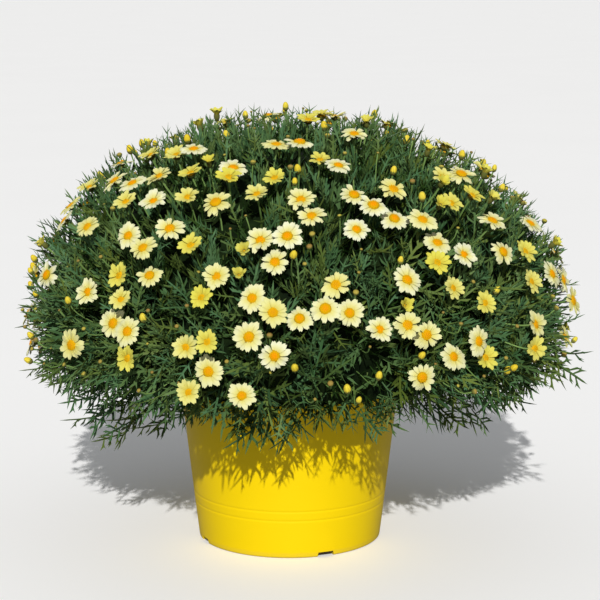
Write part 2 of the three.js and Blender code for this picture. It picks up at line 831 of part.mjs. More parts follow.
function seatSprays(groups, masses) {
  const taken = new Set();
  return groups.map((blooms) => {
    const middle = blooms.reduce((total, bloom) => total.add(bloom.foot), new THREE.Vector3());
    middle.divideScalar(blooms.length);
    let best = null;
    for (const mass of masses) {
      for (const face of mass.facets) {
        const place = mass.skin.middle(face);
        const normal = mass.skin.normal(face);
        const away = middle.clone().sub(place);
        const aside = away.clone().addScaledVector(normal, -away.dot(normal)).length();
        const cost = aside + SEAT_NEARNESS * away.length();
        if (!taken.has(mass.name + face) && (!best || cost < best.cost)) {
          best = { mass, face, place, normal, cost };
        }
      }
    }
    taken.add(best.mass.name + best.face);
    best.mass.seats.add(best.face);
    partBlooms(best, blooms);
    return { blooms, seat: best };
  });
}

// Leaves: every free face of the leaf mass is drawn out into a cut leaf or a low point

function leafDirection(place, normal) {
  const height = (place.z - DOME_CENTRE.z) / DOME_RISE;
  return mix([[normal, 1], [UP, height > 0 ? LEAF_LIFT * (1 - height) : LEAF_DROOP * height]]);
}

function growLeaves(mass, order, petals) {
  mass.facets.forEach((face, i) => {
    if (mass.seats.has(face)) {
      return;
    }
    const key = order * LEAF_NUMBERS + i;
    const place = mass.skin.middle(face);
    const axis = leafDirection(place, mass.skin.normal(face));
    const others = petals.filter(([corner]) => corner.distanceTo(place) < NEAR_A_LEAF);
    const share = place.z < SKIRT_TOP ? SKIRT_LEAF_SHARE : LEAF_SHARE;
    const cut = draw(key, TRAIT.cutLeaf) < share;
    const variety = 1 + LEAF_VARIETY * spread(key, TRAIT.length);
    let length = (cut ? LEAF_LENGTH : POINT_LENGTH) * variety;
    for (let attempt = 0; attempt < LEAF_TRIES; attempt += 1) {
      const tip = moved(place, axis, length);
      const trial = mass.skin.copy();
      if (cut) {
        growLeaf(mass, trial, face, axis, length, key, others);
      } else {
        trial.spike(face, tip);
      }
      const fresh = [trial.corners(face), ...trial.triangles(mass.skin.faces.length)];
      const clear = mass.holds(tip) && !anyCross(fresh, others) && !anyCross(fresh, fresh);
      if (clear && !anyCross(fresh, mass.skin.triangles())) {
        mass.skin = trial;
        return;
      }
      length *= SHORTENING;
    }
  });
}

// A cut leaf: a slim three-sided rib with two leaflets drawn out of each of two of its sides
function growLeaf(mass, skin, face, axis, length, key, others) {
  const middle = skin.middle(face);
  const root = skin.corners(face).map((corner) => middle.clone().lerp(corner, LEAF_ROOT));
  skin.grow(face, root);
  const centre = moved(middle, axis, length * LEAF_MIDDLE);
  const section = root.map((corner) => centre.clone()
    .addScaledVector(corner, LEAF_TAPER)
    .addScaledVector(middle, -LEAF_TAPER));
  const sides = skin.grow(face, section);
  skin.spike(face, moved(middle, axis, length));
  const first = Math.floor(3 * draw(key, TRAIT.turn));
  for (const turn of [0, 1]) {
    const edge = (first + turn) % 3;
    for (const side of [sides[2 * edge], sides[2 * edge + 1]]) {
      const variety = 1 + LEAF_VARIETY * spread(key, TRAIT.leaflet + side);
      const reach = LEAFLET_REACH * (length / LEAF_LENGTH) * variety;
      const outward = moved(skin.middle(side), skin.normal(side), reach);
      const tip = moved(outward, axis, LEAFLET_RISE);
      if (mass.holds(tip) && skin.spikeIsClear(side, tip, others)) {
        skin.spike(side, tip);
      }
    }
  }
}

// The woody stem: a trunk in the soil and a limb to each piece of the leaf mass

function limbEnd(mass, from) {
  let best = null;
  for (const face of mass.inside) {
    const place = mass.skin.middle(face);
    const lean = place.clone().sub(from).normalize();
    const straight = -lean.dot(mass.skin.normal(face));
    if (!best || straight > best.straight) {
      best = { place, normal: mass.skin.normal(face), straight };
    }
  }
  return best;
}

function stemGeometry(crown, branches) {
  const skin = new Skin();
  const ring = (height, radius) => {
    const row = [];
    for (let i = 0; i < TRUNK_SIDES; i += 1) {
      const angle = ((i + 0.5) * TURN) / TRUNK_SIDES;
      const corner = new THREE.Vector3(radius * Math.cos(angle), radius * Math.sin(angle), height);
      row.push(skin.point(corner));
    }
    return row;
  };
  const foot = SOIL_LEVEL + SOIL_CROWN - TRUNK_DEPTH + TOUCH_GAP;
  const low = ring(foot, TRUNK_RADIUS);
  const high = ring(TRUNK_TOP, TRUNK_RADIUS);
  const fork = ring(TRUNK_TOP + FORK_HEIGHT, FORK_RADIUS);
  for (let i = 1; i < TRUNK_SIDES - 1; i += 1) {
    skin.face(low[0], low[i + 1], low[i]);
  }
  const top = [1, 4, 7].map((index) => {
    const inward = skin.points[fork[index]].clone().multiplyScalar(LEADER_SHARE);
    return skin.point(inward.setZ(TRUNK_TOP + FORK_HEIGHT + LEADER_RISE));
  });
  const leader = skin.face(...top);
  skin.bridge([...fork, fork[0]], [...top, top[0]]);
  const roots = [];
  for (let i = 0; i < TRUNK_SIDES; i += 1) {
    const next = (i + 1) % TRUNK_SIDES;
    skin.face(low[i], low[next], high[next]);
    skin.face(low[i], high[next], high[i]);
    skin.face(high[i], fork[next], fork[i]);
    roots.push(skin.face(high[i], high[next], fork[next]));
  }
  const growLimb = (face, mass) => {
    const start = skin.middle(face);
    const end = limbEnd(mass, start);
    const seat = moved(end.place, end.normal, TOUCH_GAP);
    const knee = start.clone().lerp(seat, 0.5).addScaledVector(UP, mass === crown ? 0 : LIMB_ARCH);
    const along = knee.clone().sub(start).normalize();
    skin.grow(face, stalkSection(skin, face, knee, along, LIMB_RADIUS).corners);
    const flat = end.normal.clone().negate();
    skin.grow(face, stalkSection(skin, face, seat, flat, LIMB_RADIUS * LIMB_TAPER).corners);
  };
  growLimb(leader, crown);
  branches.forEach((branch, i) => {
    growLimb(roots[(i + TRUNK_SIDES - 1) % TRUNK_SIDES], branch);
  });
  return skin.geometry();
}

// The plant, put together

function finish(name, geometry, look) {
  const mesh = new THREE.Mesh(geometry, new THREE.MeshStandardMaterial(look));
  mesh.name = name;
  return mesh;
}

const crown = { name: 'leafy_crown', seats: new Set(), holds: () => true, ...crownSkin() };
const branches = Array.from({ length: BRANCH_COUNT }, (_, i) => ({
  name: `leafy_branch_${i + 1}`,
  seats: new Set(),
  holds: (point) => inSlice(point, i),
  ...branchSkin(i),
}));
const masses = [crown, ...branches];
const sprays = seatSprays(groupBlooms(placeBlooms()), masses);

const plant = new THREE.Group();
plant.add(finish('pot', potGeometry(), LOOKS.pot));
plant.add(finish('potting_soil', soilGeometry(), LOOKS.soil));
plant.add(finish('woody_stem', stemGeometry(crown, branches), LOOKS.wood));
const ground = masses.flatMap((mass) => mass.skin.triangles());
const spraySkins = sprays.map((spray) => spraySkin(spray, ground));
spraySkins.forEach((skin, i) => {
  const name = `flower_spray_${String(i + 1).padStart(2, '0')}`;
  plant.add(finish(name, skin.geometry(), LOOKS.petals));
});
const petals = spraySkins.flatMap((skin) => skin.triangles());
masses.forEach((mass, i) => {
  growLeaves(mass, i, petals);
  plant.add(finish(mass.name, mass.skin.geometry(), LOOKS.leaves));
});

export default plant;
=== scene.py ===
# %% [markdown]
# A potted marguerite daisy
#
# The plant is a bush about 70 cm across in a ten-litre yellow nursery pot. From a step away it is a
# dark green dome of finely cut leaves with pale lemon daisies all over it, and that is what every
# step below works towards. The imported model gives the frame: its pot, soil, stem, leafy masses and
# flower sprays are in the right places and have the right sizes, but few facets. Each one is
# replaced here by a finer piece that keeps its form.

# %% The frame
import json
import math
import random
from types import SimpleNamespace

import bmesh
import bpy
from mathutils import Matrix, Vector, kdtree, noise

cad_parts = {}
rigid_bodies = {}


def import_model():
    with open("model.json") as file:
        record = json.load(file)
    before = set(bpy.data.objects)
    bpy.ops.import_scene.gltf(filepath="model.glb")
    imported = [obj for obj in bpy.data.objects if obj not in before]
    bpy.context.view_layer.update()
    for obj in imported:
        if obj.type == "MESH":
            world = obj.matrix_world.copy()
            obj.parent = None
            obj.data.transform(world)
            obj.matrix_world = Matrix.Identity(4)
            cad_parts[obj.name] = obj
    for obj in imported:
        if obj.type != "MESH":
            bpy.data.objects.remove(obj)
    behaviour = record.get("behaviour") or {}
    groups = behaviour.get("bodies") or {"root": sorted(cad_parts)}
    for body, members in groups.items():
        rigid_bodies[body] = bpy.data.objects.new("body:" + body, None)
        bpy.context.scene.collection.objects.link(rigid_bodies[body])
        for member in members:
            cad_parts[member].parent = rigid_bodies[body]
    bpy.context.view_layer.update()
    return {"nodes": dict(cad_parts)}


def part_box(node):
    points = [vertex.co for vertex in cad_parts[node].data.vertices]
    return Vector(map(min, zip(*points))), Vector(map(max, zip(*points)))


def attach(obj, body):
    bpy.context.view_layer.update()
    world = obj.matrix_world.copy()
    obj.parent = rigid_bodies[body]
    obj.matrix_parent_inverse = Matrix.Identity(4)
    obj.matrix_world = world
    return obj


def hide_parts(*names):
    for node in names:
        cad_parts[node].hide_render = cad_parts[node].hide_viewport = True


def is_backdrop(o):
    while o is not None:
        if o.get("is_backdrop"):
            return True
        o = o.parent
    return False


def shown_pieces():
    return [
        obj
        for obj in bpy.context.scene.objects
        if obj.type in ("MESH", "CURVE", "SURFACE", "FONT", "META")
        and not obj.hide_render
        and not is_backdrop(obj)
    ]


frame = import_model()
UP = Vector((0, 0, 1))
FRONT = Vector((0, -1, 0))
TURN = 2 * math.pi
GOLDEN_ANGLE = math.pi * (3 - math.sqrt(5))

# %% [markdown]
# ## Camera, light and floor
#
# The two ellipses of the pot in the picture give the camera: 2.4 m in front of the pot, 0.72 m high
# and pitched 9.8 degrees down. The picture was taken in sunshine from behind the camera, with white
# surroundings. So a sun lamp stands a third of the way up the sky in front, with a small angle that
# keeps the leaves' shadows on the pot readable, and a white world fills the shade softly. A wide,
# weak lamp behind shows the far side of the plant in the other views. Light linking keeps it off the
# floor, where it would wash out the shadow.

# %% Camera
PICTURE_SIZE = 600
PICTURE_CENTRE = PICTURE_SIZE / 2
CAMERA_FOCUS = 1911
CAMERA_PLACE = Vector((0.0134, -2.4, 0.72))
CAMERA_PITCH = math.radians(9.8)
SENSOR_WIDTH = 36

camera = bpy.data.objects.new("camera", bpy.data.cameras.new("camera"))
camera.data.sensor_width = SENSOR_WIDTH
camera.data.lens = SENSOR_WIDTH * CAMERA_FOCUS / PICTURE_SIZE
camera.location = CAMERA_PLACE
camera.rotation_euler = (math.pi / 2 - CAMERA_PITCH, 0, 0)
bpy.context.collection.objects.link(camera)
bpy.context.scene.camera = camera
print("lens", round(camera.data.lens, 1), "mm")

# %% [markdown]
# ## Writing node trees as Python
#
# Materials and Geometry Nodes are both node trees. A small class wraps one socket, so that
# `1 - mask * 0.3` adds its Math nodes by itself, and one method adds any other node from its type,
# its settings and the values or links of its sockets.

# %% A socket that takes part in sums
def sums(operation):
    """A method that adds a Math node with this socket as its first value."""
    return lambda one, *others: one.graph.maths(operation, one, *others)


class Wire:
    def __init__(self, graph, socket):
        self.graph = graph
        self.socket = socket

    def other(self, name):
        """Another output of the same node."""
        return Wire(self.graph, pick(self.socket.node.outputs, name))

    def __rsub__(self, value):
        return self.graph.maths("SUBTRACT", value, self)

    __add__ = __radd__ = sums("ADD")
    __sub__ = sums("SUBTRACT")
    __mul__ = __rmul__ = sums("MULTIPLY")
    __truediv__ = sums("DIVIDE")
    __pow__ = sums("POWER")
    at_least = sums("MAXIMUM")
    at_most = sums("MINIMUM")
    above = sums("GREATER_THAN")
    whole = sums("FLOOR")
    fraction = sums("FRACT")
    sine = sums("SINE")
    cosine = sums("COSINE")


def pick(sockets, name):
    """The socket of a name, among those that the node's settings show."""
    return next(s for s in sockets if s.enabled and s.name == name)


# %% A node tree that is written as calls
class Graph:
    def __init__(self, tree):
        self.tree = tree
        tree.nodes.clear()

    def node(self, kind, out=None, **given):
        """Adds a node: first its settings, then its sockets, capitalised and with _ for a space."""
        node = self.tree.nodes.new(kind)
        for name, value in given.items():
            if name[0].isupper():
                self.feed(pick(node.inputs, name.replace("_", " ")), value)
            else:
                setattr(node, name, value)
        shown = [s for s in node.outputs if s.enabled and out in (None, s.name)]
        return Wire(self, shown[0]) if shown else node

    def feed(self, socket, value):
        """Links a socket or sets its value; a colour is given by three numbers."""
        if isinstance(value, Wire):
            self.tree.links.new(value.socket, socket)
        else:
            socket.default_value = (*value, 1) if socket.type == "RGBA" else value

    def maths(self, operation, *values):
        result = self.node("ShaderNodeMath", operation=operation)
        for socket, value in zip(result.socket.node.inputs, values):
            self.feed(socket, value)
        return result

    def mix(self, factor, one, two, way="MIX"):
        """Two colours mixed by a factor."""
        return self.node("ShaderNodeMix", data_type="RGBA", blend_type=way, Factor=factor, A=one, B=two)

    def ramp(self, factor, *stops):
        """A colour that follows a factor through (place, colour) stops."""
        result = self.node("ShaderNodeValToRGB", Fac=factor)
        elements = result.socket.node.color_ramp.elements
        elements.remove(elements[-1])
        for i, (place, colour) in enumerate(stops):
            element = elements[0] if i == 0 else elements.new(place)
            element.position = place
            element.color = (*colour, 1)
        return result

    def between(self, value, low, high):
        """A number that goes from 0 to 1 while a value goes from low to high."""
        return self.node("ShaderNodeMapRange", Value=value, From_Min=low, From_Max=high)

    def attribute(self, name):
        """A number that the mesh carries for each of its points."""
        return self.node("ShaderNodeAttribute", "Fac", attribute_name=name)

    def place(self):
        return self.node("ShaderNodeTexCoord", "Object")

    def noise(self, scale, detail=3.0, place=None):
        place = place or self.place()
        return self.node("ShaderNodeTexNoise", "Fac", Vector=place, Scale=scale, Detail=detail)

    def bump(self, height, distance, strength):
        return self.node("ShaderNodeBump", Height=height, Distance=distance, Strength=strength)

    def vector(self, **parts):
        return self.node("ShaderNodeCombineXYZ", **parts)

    def part(self, name, vector):
        return self.node("ShaderNodeSeparateXYZ", name, Vector=vector)


# %% Light and world
SUN_HEIGHT = math.radians(30.5)
SUN_SIDE = math.radians(-0.5)
SUN_STRENGTH = 3.9
SUN_ANGLE = math.radians(0.8)
FILL_STRENGTH = 1.0
FILL_HEIGHT = math.radians(22)
FILL_ANGLE = math.radians(40)
SKY_STRENGTH = 0.33
BACKDROP_BRIGHTNESS = 0.84
FLOOR_SIZE = 400
FLOOR_COLOUR = (0.985, 0.985, 0.99)
FLOOR_BOUNCE = 0.38
SUN_COLOUR = (1, 0.985, 0.955)
SKY_COLOUR = (0.96, 0.98, 1)


def sun_lamp(name, strength, width, height, side, colour=(1, 1, 1)):
    """A sun at a height above the horizon, turned to a side; its width softens the shadows."""
    lamp = bpy.data.objects.new(name, bpy.data.lights.new(name, "SUN"))
    lamp.data.energy = strength
    lamp.data.angle = width
    lamp.data.color = colour
    lamp.rotation_euler = (math.pi / 2 - height, 0, side)
    bpy.context.collection.objects.link(lamp)
    return lamp


sun_lamp("sun", SUN_STRENGTH, SUN_ANGLE, SUN_HEIGHT, SUN_SIDE, SUN_COLOUR)
fill = sun_lamp("back_fill", FILL_STRENGTH, FILL_ANGLE, FILL_HEIGHT, math.pi)
world = bpy.data.worlds.new("white_surroundings")
world.use_nodes = True
sky = Graph(world.node_tree)
seen = sky.node("ShaderNodeLightPath", "Is Camera Ray")
strength = SKY_STRENGTH + seen * (BACKDROP_BRIGHTNESS - SKY_STRENGTH)
light = sky.node("ShaderNodeBackground", Color=SKY_COLOUR, Strength=strength)
sky.node("ShaderNodeOutputWorld", Surface=light)
bpy.context.scene.world = world
bpy.context.scene.view_settings.view_transform = "Standard"
print("sun", SUN_STRENGTH, "sky", SKY_STRENGTH)


# %% Materials, meshes and pieces
def finish(name, paint, *details):
    """A material whose surface is set by a function that returns the shader's sockets."""
    material = bpy.data.materials.new(name)
    material.use_nodes = True
    graph = Graph(material.node_tree)
    surface = graph.node("ShaderNodeBsdfPrincipled", **paint(graph, *details))
    graph.node("ShaderNodeOutputMaterial", Surface=surface)
    return material


POINT_TYPES = {"turn": "FLOAT_VECTOR", "kind": "INT"}


def mesh_from(name, points, faces=(), edges=(), **numbers):
    """A mesh from lists, with named values that its points carry: numbers, a turn or a kind."""
    mesh = bpy.data.meshes.new(name)
    mesh.from_pydata([tuple(p) for p in points], list(edges), list(faces))
    for key, values in numbers.items():
        kind = POINT_TYPES.get(key, "FLOAT")
        field = "vector" if kind == "FLOAT_VECTOR" else "value"
        mesh.attributes.new(key, kind, "POINT").data.foreach_set(field, values)
    return mesh


def add_object(name, mesh, *materials):
    body = bpy.data.objects.new(name, mesh)
    for material in materials:
        mesh.materials.append(material)
    bpy.context.collection.objects.link(body)
    return body


def baked(body):
    """The plain mesh that an object's modifiers make of it; the object itself goes."""
    depsgraph = bpy.context.evaluated_depsgraph_get()
    mesh = bpy.data.meshes.new_from_object(body.evaluated_get(depsgraph))
    mesh.name = body.name
    bpy.data.objects.remove(body)
    return mesh


def triangles(mesh):
    return sum(len(face.vertices) - 2 for face in mesh.polygons)


def add_piece(name, mesh, slot, *nodes, sharp=60):
    """A piece that rides on the one body in place of nodes of the model, smooth but for its edges."""
    if sharp:
        mesh.shade_smooth()
        mesh.set_sharp_from_angle(angle=math.radians(sharp))
    piece = add_object(name, mesh)
    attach(piece, "root")
    if nodes:
        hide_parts(*nodes)
    print(name, triangles(mesh), "triangles")


# %% The floor
def floor_paint(graph):
    """A pale floor that throws only part of its light back up, so that shaded sides stay deep."""
    worn = [c * 0.97 for c in FLOOR_COLOUR]
    bounced = [c * FLOOR_BOUNCE for c in FLOOR_COLOUR]
    shade = graph.mix(graph.noise(1.5), FLOOR_COLOUR, worn)
    seen = graph.node("ShaderNodeLightPath", "Is Camera Ray")
    return dict(Base_Color=graph.mix(seen, bounced, shade), Roughness=0.6, Specular_IOR_Level=0.2)


half_floor = FLOOR_SIZE / 2
floor_corners = [(x * half_floor, y * half_floor, 0) for x, y in ((-1, -1), (1, -1), (1, 1), (-1, 1))]
floor = add_object("floor", mesh_from("floor", floor_corners, [(0, 1, 2, 3)]),
                   finish("pale_floor", floor_paint))
floor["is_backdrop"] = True
unlit = bpy.data.collections.new("not_lit_from_behind")
unlit.objects.link(floor)
unlit.collection_objects[0].light_linking.link_state = "EXCLUDE"
fill.light_linking.receiver_collection = unlit

# %% [markdown]
# ## The pot
#
# The pot is injection moulded: a straight taper with a thin wall, a slightly thickened lip, a rounded
# foot, two fine lines where the mould has a step, and drainage notches cut into the foot. A profile
# turned round the axis gives all of it but the notches, which a Boolean modifier cuts out.

# %% The pot's profile
pot_low, pot_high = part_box("pot")
POT_HEIGHT = pot_high.z
LIP_REACH = 0.0024
LIP_HEIGHT = 0.009
POT_TOP_RADIUS = (pot_high.x - pot_low.x) / 2 - LIP_REACH
POT_BASE_RADIUS = 0.117
POT_WALL = 0.0022
POT_FLOOR = 0.003
FOOT_ROUND = 0.0025
LINE_HEIGHTS = (0.049, 0.061)
LINE_DEPTH = 0.0003
LINE_WIDTH = 0.0012
POT_SIDES = 144
LINE_STEPS = ((-2.5, 0), (-1, 0), (-0.4, LINE_DEPTH), (0.4, LINE_DEPTH), (1, 0), (2.5, 0))
ROUND_STEPS = 4
UNDER_LIP = 0.0008
LIP_BEVEL = 0.0004


def pot_radius(height):
    return POT_BASE_RADIUS + (POT_TOP_RADIUS - POT_BASE_RADIUS) * height / POT_HEIGHT


def quarter(centre, radius, start):
    """Points of a quarter turn, anticlockwise from an angle, in a profile."""
    angles = [start + math.pi / 2 * i / ROUND_STEPS for i in range(ROUND_STEPS + 1)]
    return [(centre[0] + radius * math.cos(a), centre[1] + radius * math.sin(a)) for a in angles]


def pot_profile():
    lip_foot = POT_HEIGHT - LIP_HEIGHT
    outer = quarter((POT_BASE_RADIUS - FOOT_ROUND, FOOT_ROUND), FOOT_ROUND, -math.pi / 2)
    for height in LINE_HEIGHTS:
        for step, depth in LINE_STEPS:
            level = height + step * LINE_WIDTH
            outer.append((pot_radius(level) - depth, level))
    outer += [(pot_radius(level), level) for level in (0.1, 0.15, lip_foot - UNDER_LIP)]
    outer.append((pot_radius(lip_foot) + 0.4 * LIP_REACH, lip_foot))
    lip_outside = POT_TOP_RADIUS + LIP_REACH
    outer.append((lip_outside - LIP_BEVEL, lip_foot + LIP_REACH))
    rim_round = (LIP_REACH + POT_WALL) / 2
    rim = (lip_outside - rim_round, POT_HEIGHT - rim_round)
    outer += quarter(rim, rim_round, 0) + quarter(rim, rim_round, math.pi / 2)[1:]
    inner = [(POT_TOP_RADIUS - POT_WALL, lip_foot - LIP_REACH)]
    inner += [(pot_radius(level) - POT_WALL, level) for level in (0.15, 0.1, 0.05, POT_FLOOR)]
    return [(0, 0)] + outer + inner + [(0, POT_FLOOR)]


# %% A profile turned into a closed shell
def turned(name, profile, sides):
    """A profile of (radius, height) turned round Z, whose points carry how far along and around they lie.

    A radius of 0 closes it at a pole.
    """
    points = []
    rings = []
    for radius, height in profile:
        if radius == 0:
            rings.append([len(points)] * sides)
            points.append((0, 0, height))
        else:
            rings.append([len(points) + i for i in range(sides)])
            angles = [TURN * i / sides for i in range(sides)]
            points += [(radius * math.cos(a), radius * math.sin(a), height) for a in angles]
    faces = []
    for low, high in zip(rings, rings[1:]):
        for i in range(sides):
            j = (i + 1) % sides
            corners = [low[i], low[j], high[j], high[i]]
            faces.append(list(dict.fromkeys(corners)))
    lowest, highest = min(z for _, _, z in points), max(z for _, _, z in points)
    along = [(z - lowest) / (highest - lowest) for _, _, z in points]
    around = [math.atan2(y, x) / TURN for x, y, _ in points]
    return mesh_from(name, points, faces, along=along, around=around)


NOTCH_COUNT = 4
NOTCH_WIDTH = 0.025
NOTCH_HEIGHT = 0.006
NOTCH_NARROWING = 0.005
FIRST_NOTCH = math.radians(-67)
NOTCH_REACH = 0.012


def notch_cutters():
    """Wedges that are wider at the floor, where they stand through the wall at the foot."""
    half = NOTCH_WIDTH / 2
    slim = half - NOTCH_NARROWING / 2
    outline = [(-half, -NOTCH_HEIGHT), (half, -NOTCH_HEIGHT), (slim, NOTCH_HEIGHT), (-slim, NOTCH_HEIGHT)]
    wedge = [(0, 1, 2, 3), (7, 6, 5, 4)]
    wedge += [(i, i + 4, (i + 1) % 4 + 4, (i + 1) % 4) for i in range(4)]
    points = []
    faces = []
    for number in range(NOTCH_COUNT):
        turn = Matrix.Rotation(FIRST_NOTCH + TURN * number / NOTCH_COUNT, 3, "Z")
        faces += [[i + len(points) for i in face] for face in wedge]
        for reach in (NOTCH_REACH, -NOTCH_REACH):
            points += [turn @ Vector((x, -(POT_BASE_RADIUS + reach), z)) for x, z in outline]
    return mesh_from("notch_cutters", points, faces)


# %% The pot
GRIME_HEIGHT = 0.008
GRIME_MOST = 0.2


def pot_paint(graph):
    deep = graph.mix(graph.noise(6, 2), (0.76, 0.535, 0.0), (0.81, 0.58, 0.0))
    height = graph.part("Z", graph.place())
    grime = graph.noise(60, 5) * (1 - height / GRIME_HEIGHT).at_least(0)
    dusty = graph.mix(grime.at_most(GRIME_MOST), deep, (0.45, 0.33, 0.06))
    relief = graph.bump(graph.noise(900, 2) * 0.25 + graph.noise(14, 1) * 2, 0.0004, 0.35)
    return dict(Base_Color=dusty, Roughness=0.38 + graph.noise(25) * 0.14, Normal=relief,
                Specular_IOR_Level=0.15)


pot = add_object("yellow_pot", turned("yellow_pot", pot_profile(), POT_SIDES),
                 finish("yellow_plastic", pot_paint))
cut = pot.modifiers.new("notches", "BOOLEAN")
cut.object = cutters = add_object("notch_cutters", notch_cutters())
cut.solver = "EXACT"
pot_mesh = baked(pot)
bpy.data.objects.remove(cutters)
add_piece("yellow_pot", pot_mesh, "yellow_plastic", "pot", sharp=35)

# %% [markdown]
# ## Growing repeats with Geometry Nodes
#
# Leaves on a shoot, shoots on the bush, petals round a disc and florets on it are all copies of a
# few shapes, each placed by a rule. A tree gets its places as loose points that carry their turn,
# size and tone, and puts one of several shapes on each. The result is made a plain mesh.

# %% A geometry node tree that grows copies
class Growth(Graph):
    """A tree with the inputs Geometry, Shapes and Finish, and with numbers that have a default."""

    def __init__(self, name, **numbers):
        super().__init__(bpy.data.node_groups.new(name, "GeometryNodeTree"))
        panel = self.tree.interface
        panel.new_socket("Geometry", in_out="OUTPUT", socket_type="NodeSocketGeometry")
        kinds = {"Geometry": "Geometry", "Shapes": "Collection", "Finish": "Material"}
        kinds.update({key: type(default).__name__.title() for key, default in numbers.items()})
        for key, kind in kinds.items():
            socket = panel.new_socket(key, in_out="INPUT", socket_type="NodeSocket" + kind)
            if key in numbers:
                socket.default_value = numbers[key]
        start = self.node("NodeGroupInput", "Geometry")
        self.base, self.shapes, self.finish, *rest = [start.other(key) for key in kinds]
        self.given = SimpleNamespace(**dict(zip(numbers, rest)))

    def drawn(self, low, high, step, kind="FLOAT"):
        """A number drawn for each point, by the tree's seed and a step of its own."""
        return self.node("FunctionNodeRandomValue", data_type=kind, Min=low, Max=high,
                         Seed=self.given.seed + step)

    def turn(self, angles):
        return self.node("FunctionNodeEulerToRotation", Euler=angles)

    def copies(self, points, turn, size, pick=0):
        """A copy on every point of the shape with the picked number."""
        shapes = self.node("GeometryNodeCollectionInfo", Collection=self.shapes,
                           Separate_Children=True, Reset_Children=True)
        return self.node("GeometryNodeInstanceOnPoints", Points=points, Instance=shapes,
                         Pick_Instance=True, Instance_Index=pick, Rotation=turn, Scale=size)

    def carry(self, shape, name, value, domain="INSTANCE"):
        """Gives each copy, or each point, a named number."""
        return self.node("GeometryNodeStoreNamedAttribute", data_type="FLOAT", domain=domain,
                         Geometry=shape, Name=name, Value=value)

    def tube(self, curve, radius, sides):
        ring = self.node("GeometryNodeCurvePrimitiveCircle", Resolution=sides, Radius=1.0)
        return self.node("GeometryNodeCurveToMesh", Curve=curve, Profile_Curve=ring, Scale=radius,
                         Fill_Caps=True)

    def end(self, *shapes):
        """Ends the tree: its shapes joined, made real and given their finish."""
        whole = self.node("GeometryNodeJoinGeometry")
        for shape in shapes:
            self.feed(whole.socket.node.inputs[0], shape)
        real = self.node("GeometryNodeRealizeInstances", Geometry=whole)
        dressed = self.node("GeometryNodeSetMaterial", Geometry=real, Material=self.finish)
        self.node("NodeGroupOutput", Geometry=dressed)
        return self

    def grow(self, name, base, shapes, material, **numbers):
        """The plain mesh that the tree grows from a base mesh, out of copies of some shapes."""
        box = bpy.data.collections.new(name)
        bpy.context.scene.collection.children.link(box)
        for i, mesh in enumerate(shapes):
            box.objects.link(bpy.data.objects.new(f"{name}_{i:02d}", mesh))
        body = add_object(name, base)
        modifier = body.modifiers.new(name, "NODES")
        modifier.node_group = self.tree
        values = {"Shapes": box, "Finish": material, **numbers}
        for item in self.tree.interface.items_tree:
            if item.name in values:
                modifier[item.identifier] = values[item.name]
        grown = baked(body)
        for piece in list(box.objects):
            bpy.data.objects.remove(piece)
        bpy.data.collections.remove(box)
        return grown


# %% Points that carry how their copy stands
def planted(name, stands):
    """A mesh of loose points with the turn, size, kind and tone of what grows on each."""
    numbers = {key: [s[key] for s in stands] for key in ("kind", "size", "tone")}
    turns = [angle for s in stands for angle in s["turn"]]
    return mesh_from(name, [s["place"] for s in stands], turn=turns, **numbers)


def planting_tree():
    """Puts the picked shape on every point, turned, sized and toned as the point says."""
    graph = Growth("planting")
    turn, size, kind, tone = [
        graph.node("GeometryNodeInputNamedAttribute", data_type=POINT_TYPES.get(key, "FLOAT"), Name=key)
        for key in ("turn", "size", "kind", "tone")]
    copies = graph.copies(graph.base, graph.turn(turn), size, kind)
    return graph.end(graph.carry(copies, "tone", tone))


planting = planting_tree()


def plant(name, stands, shapes, material, slot, *nodes, sharp=60):
    """A piece made of one of several shapes at every stand."""
    print(name, len(stands), "copies")
    add_piece(name, planting.grow(name, planted(name, stands), shapes, material), slot, *nodes, sharp=sharp)


def standing(axis, towards, roll=0.0):
    """The Euler turn that puts Z along an axis and X towards a direction, then rolls round Z."""
    z = axis.normalized()
    y = z.cross(towards)
    if y.length < 1e-4:
        y = z.cross(Vector((1, 0.3, 0.2)))
    y.normalize()
    turn = Matrix((y.cross(z), y, z)).transposed()
    return (turn @ Matrix.Rotation(roll, 3, "Z")).to_euler()


def draw(index, trait):
    """A repeatable number between 0 and 1, the same as the solid model draws."""
    wave = math.sin(index * 12.9898 + trait * 78.233) * 43758.5453
    return wave - math.floor(wave)


def any_way(draws):
    return Vector([draws.uniform(-1, 1) for _ in range(3)])


def spiral_polar(index, count, lowest):
    """The angle from the top at which an even spiral of a count of points puts one of them."""
    return math.acos(1 - (index + 0.5) / count * (1 - math.cos(lowest)))


# %% [markdown]
# ## The dome
#
# The bush is a flattened ball. Its blooms lie on an ellipsoid, higher above its widest level than
# below it, and everything that grows is placed from a point of that surface and its normal.

# %% The dome's surface
DOME_CENTRE = Vector((0.010, 0, 0.290))
DOME_RADIUS = 0.340
DOME_RISE = 0.250
DOME_SKIRT = 0.170


def dome_rise(height):
    return DOME_RISE if height > 0 else DOME_SKIRT


def dome_point(azimuth, polar, scale):
    height = math.cos(polar)
    reach = DOME_RADIUS * scale * math.sin(polar)
    offset = Vector((reach * math.cos(azimuth), reach * math.sin(azimuth), 0))
    return DOME_CENTRE + offset + UP * dome_rise(height) * scale * height


def dome_normal(point):
    away = point - DOME_CENTRE
    rise = dome_rise(away.z)
    return Vector((away.x / DOME_RADIUS ** 2, away.y / DOME_RADIUS ** 2, away.z / rise ** 2)).normalized()


def blend(*parts):
    """The direction of a weighted sum of directions."""
    total = Vector((0, 0, 0))
    for direction, weight in parts:
        total += direction * weight
    return total.normalized()


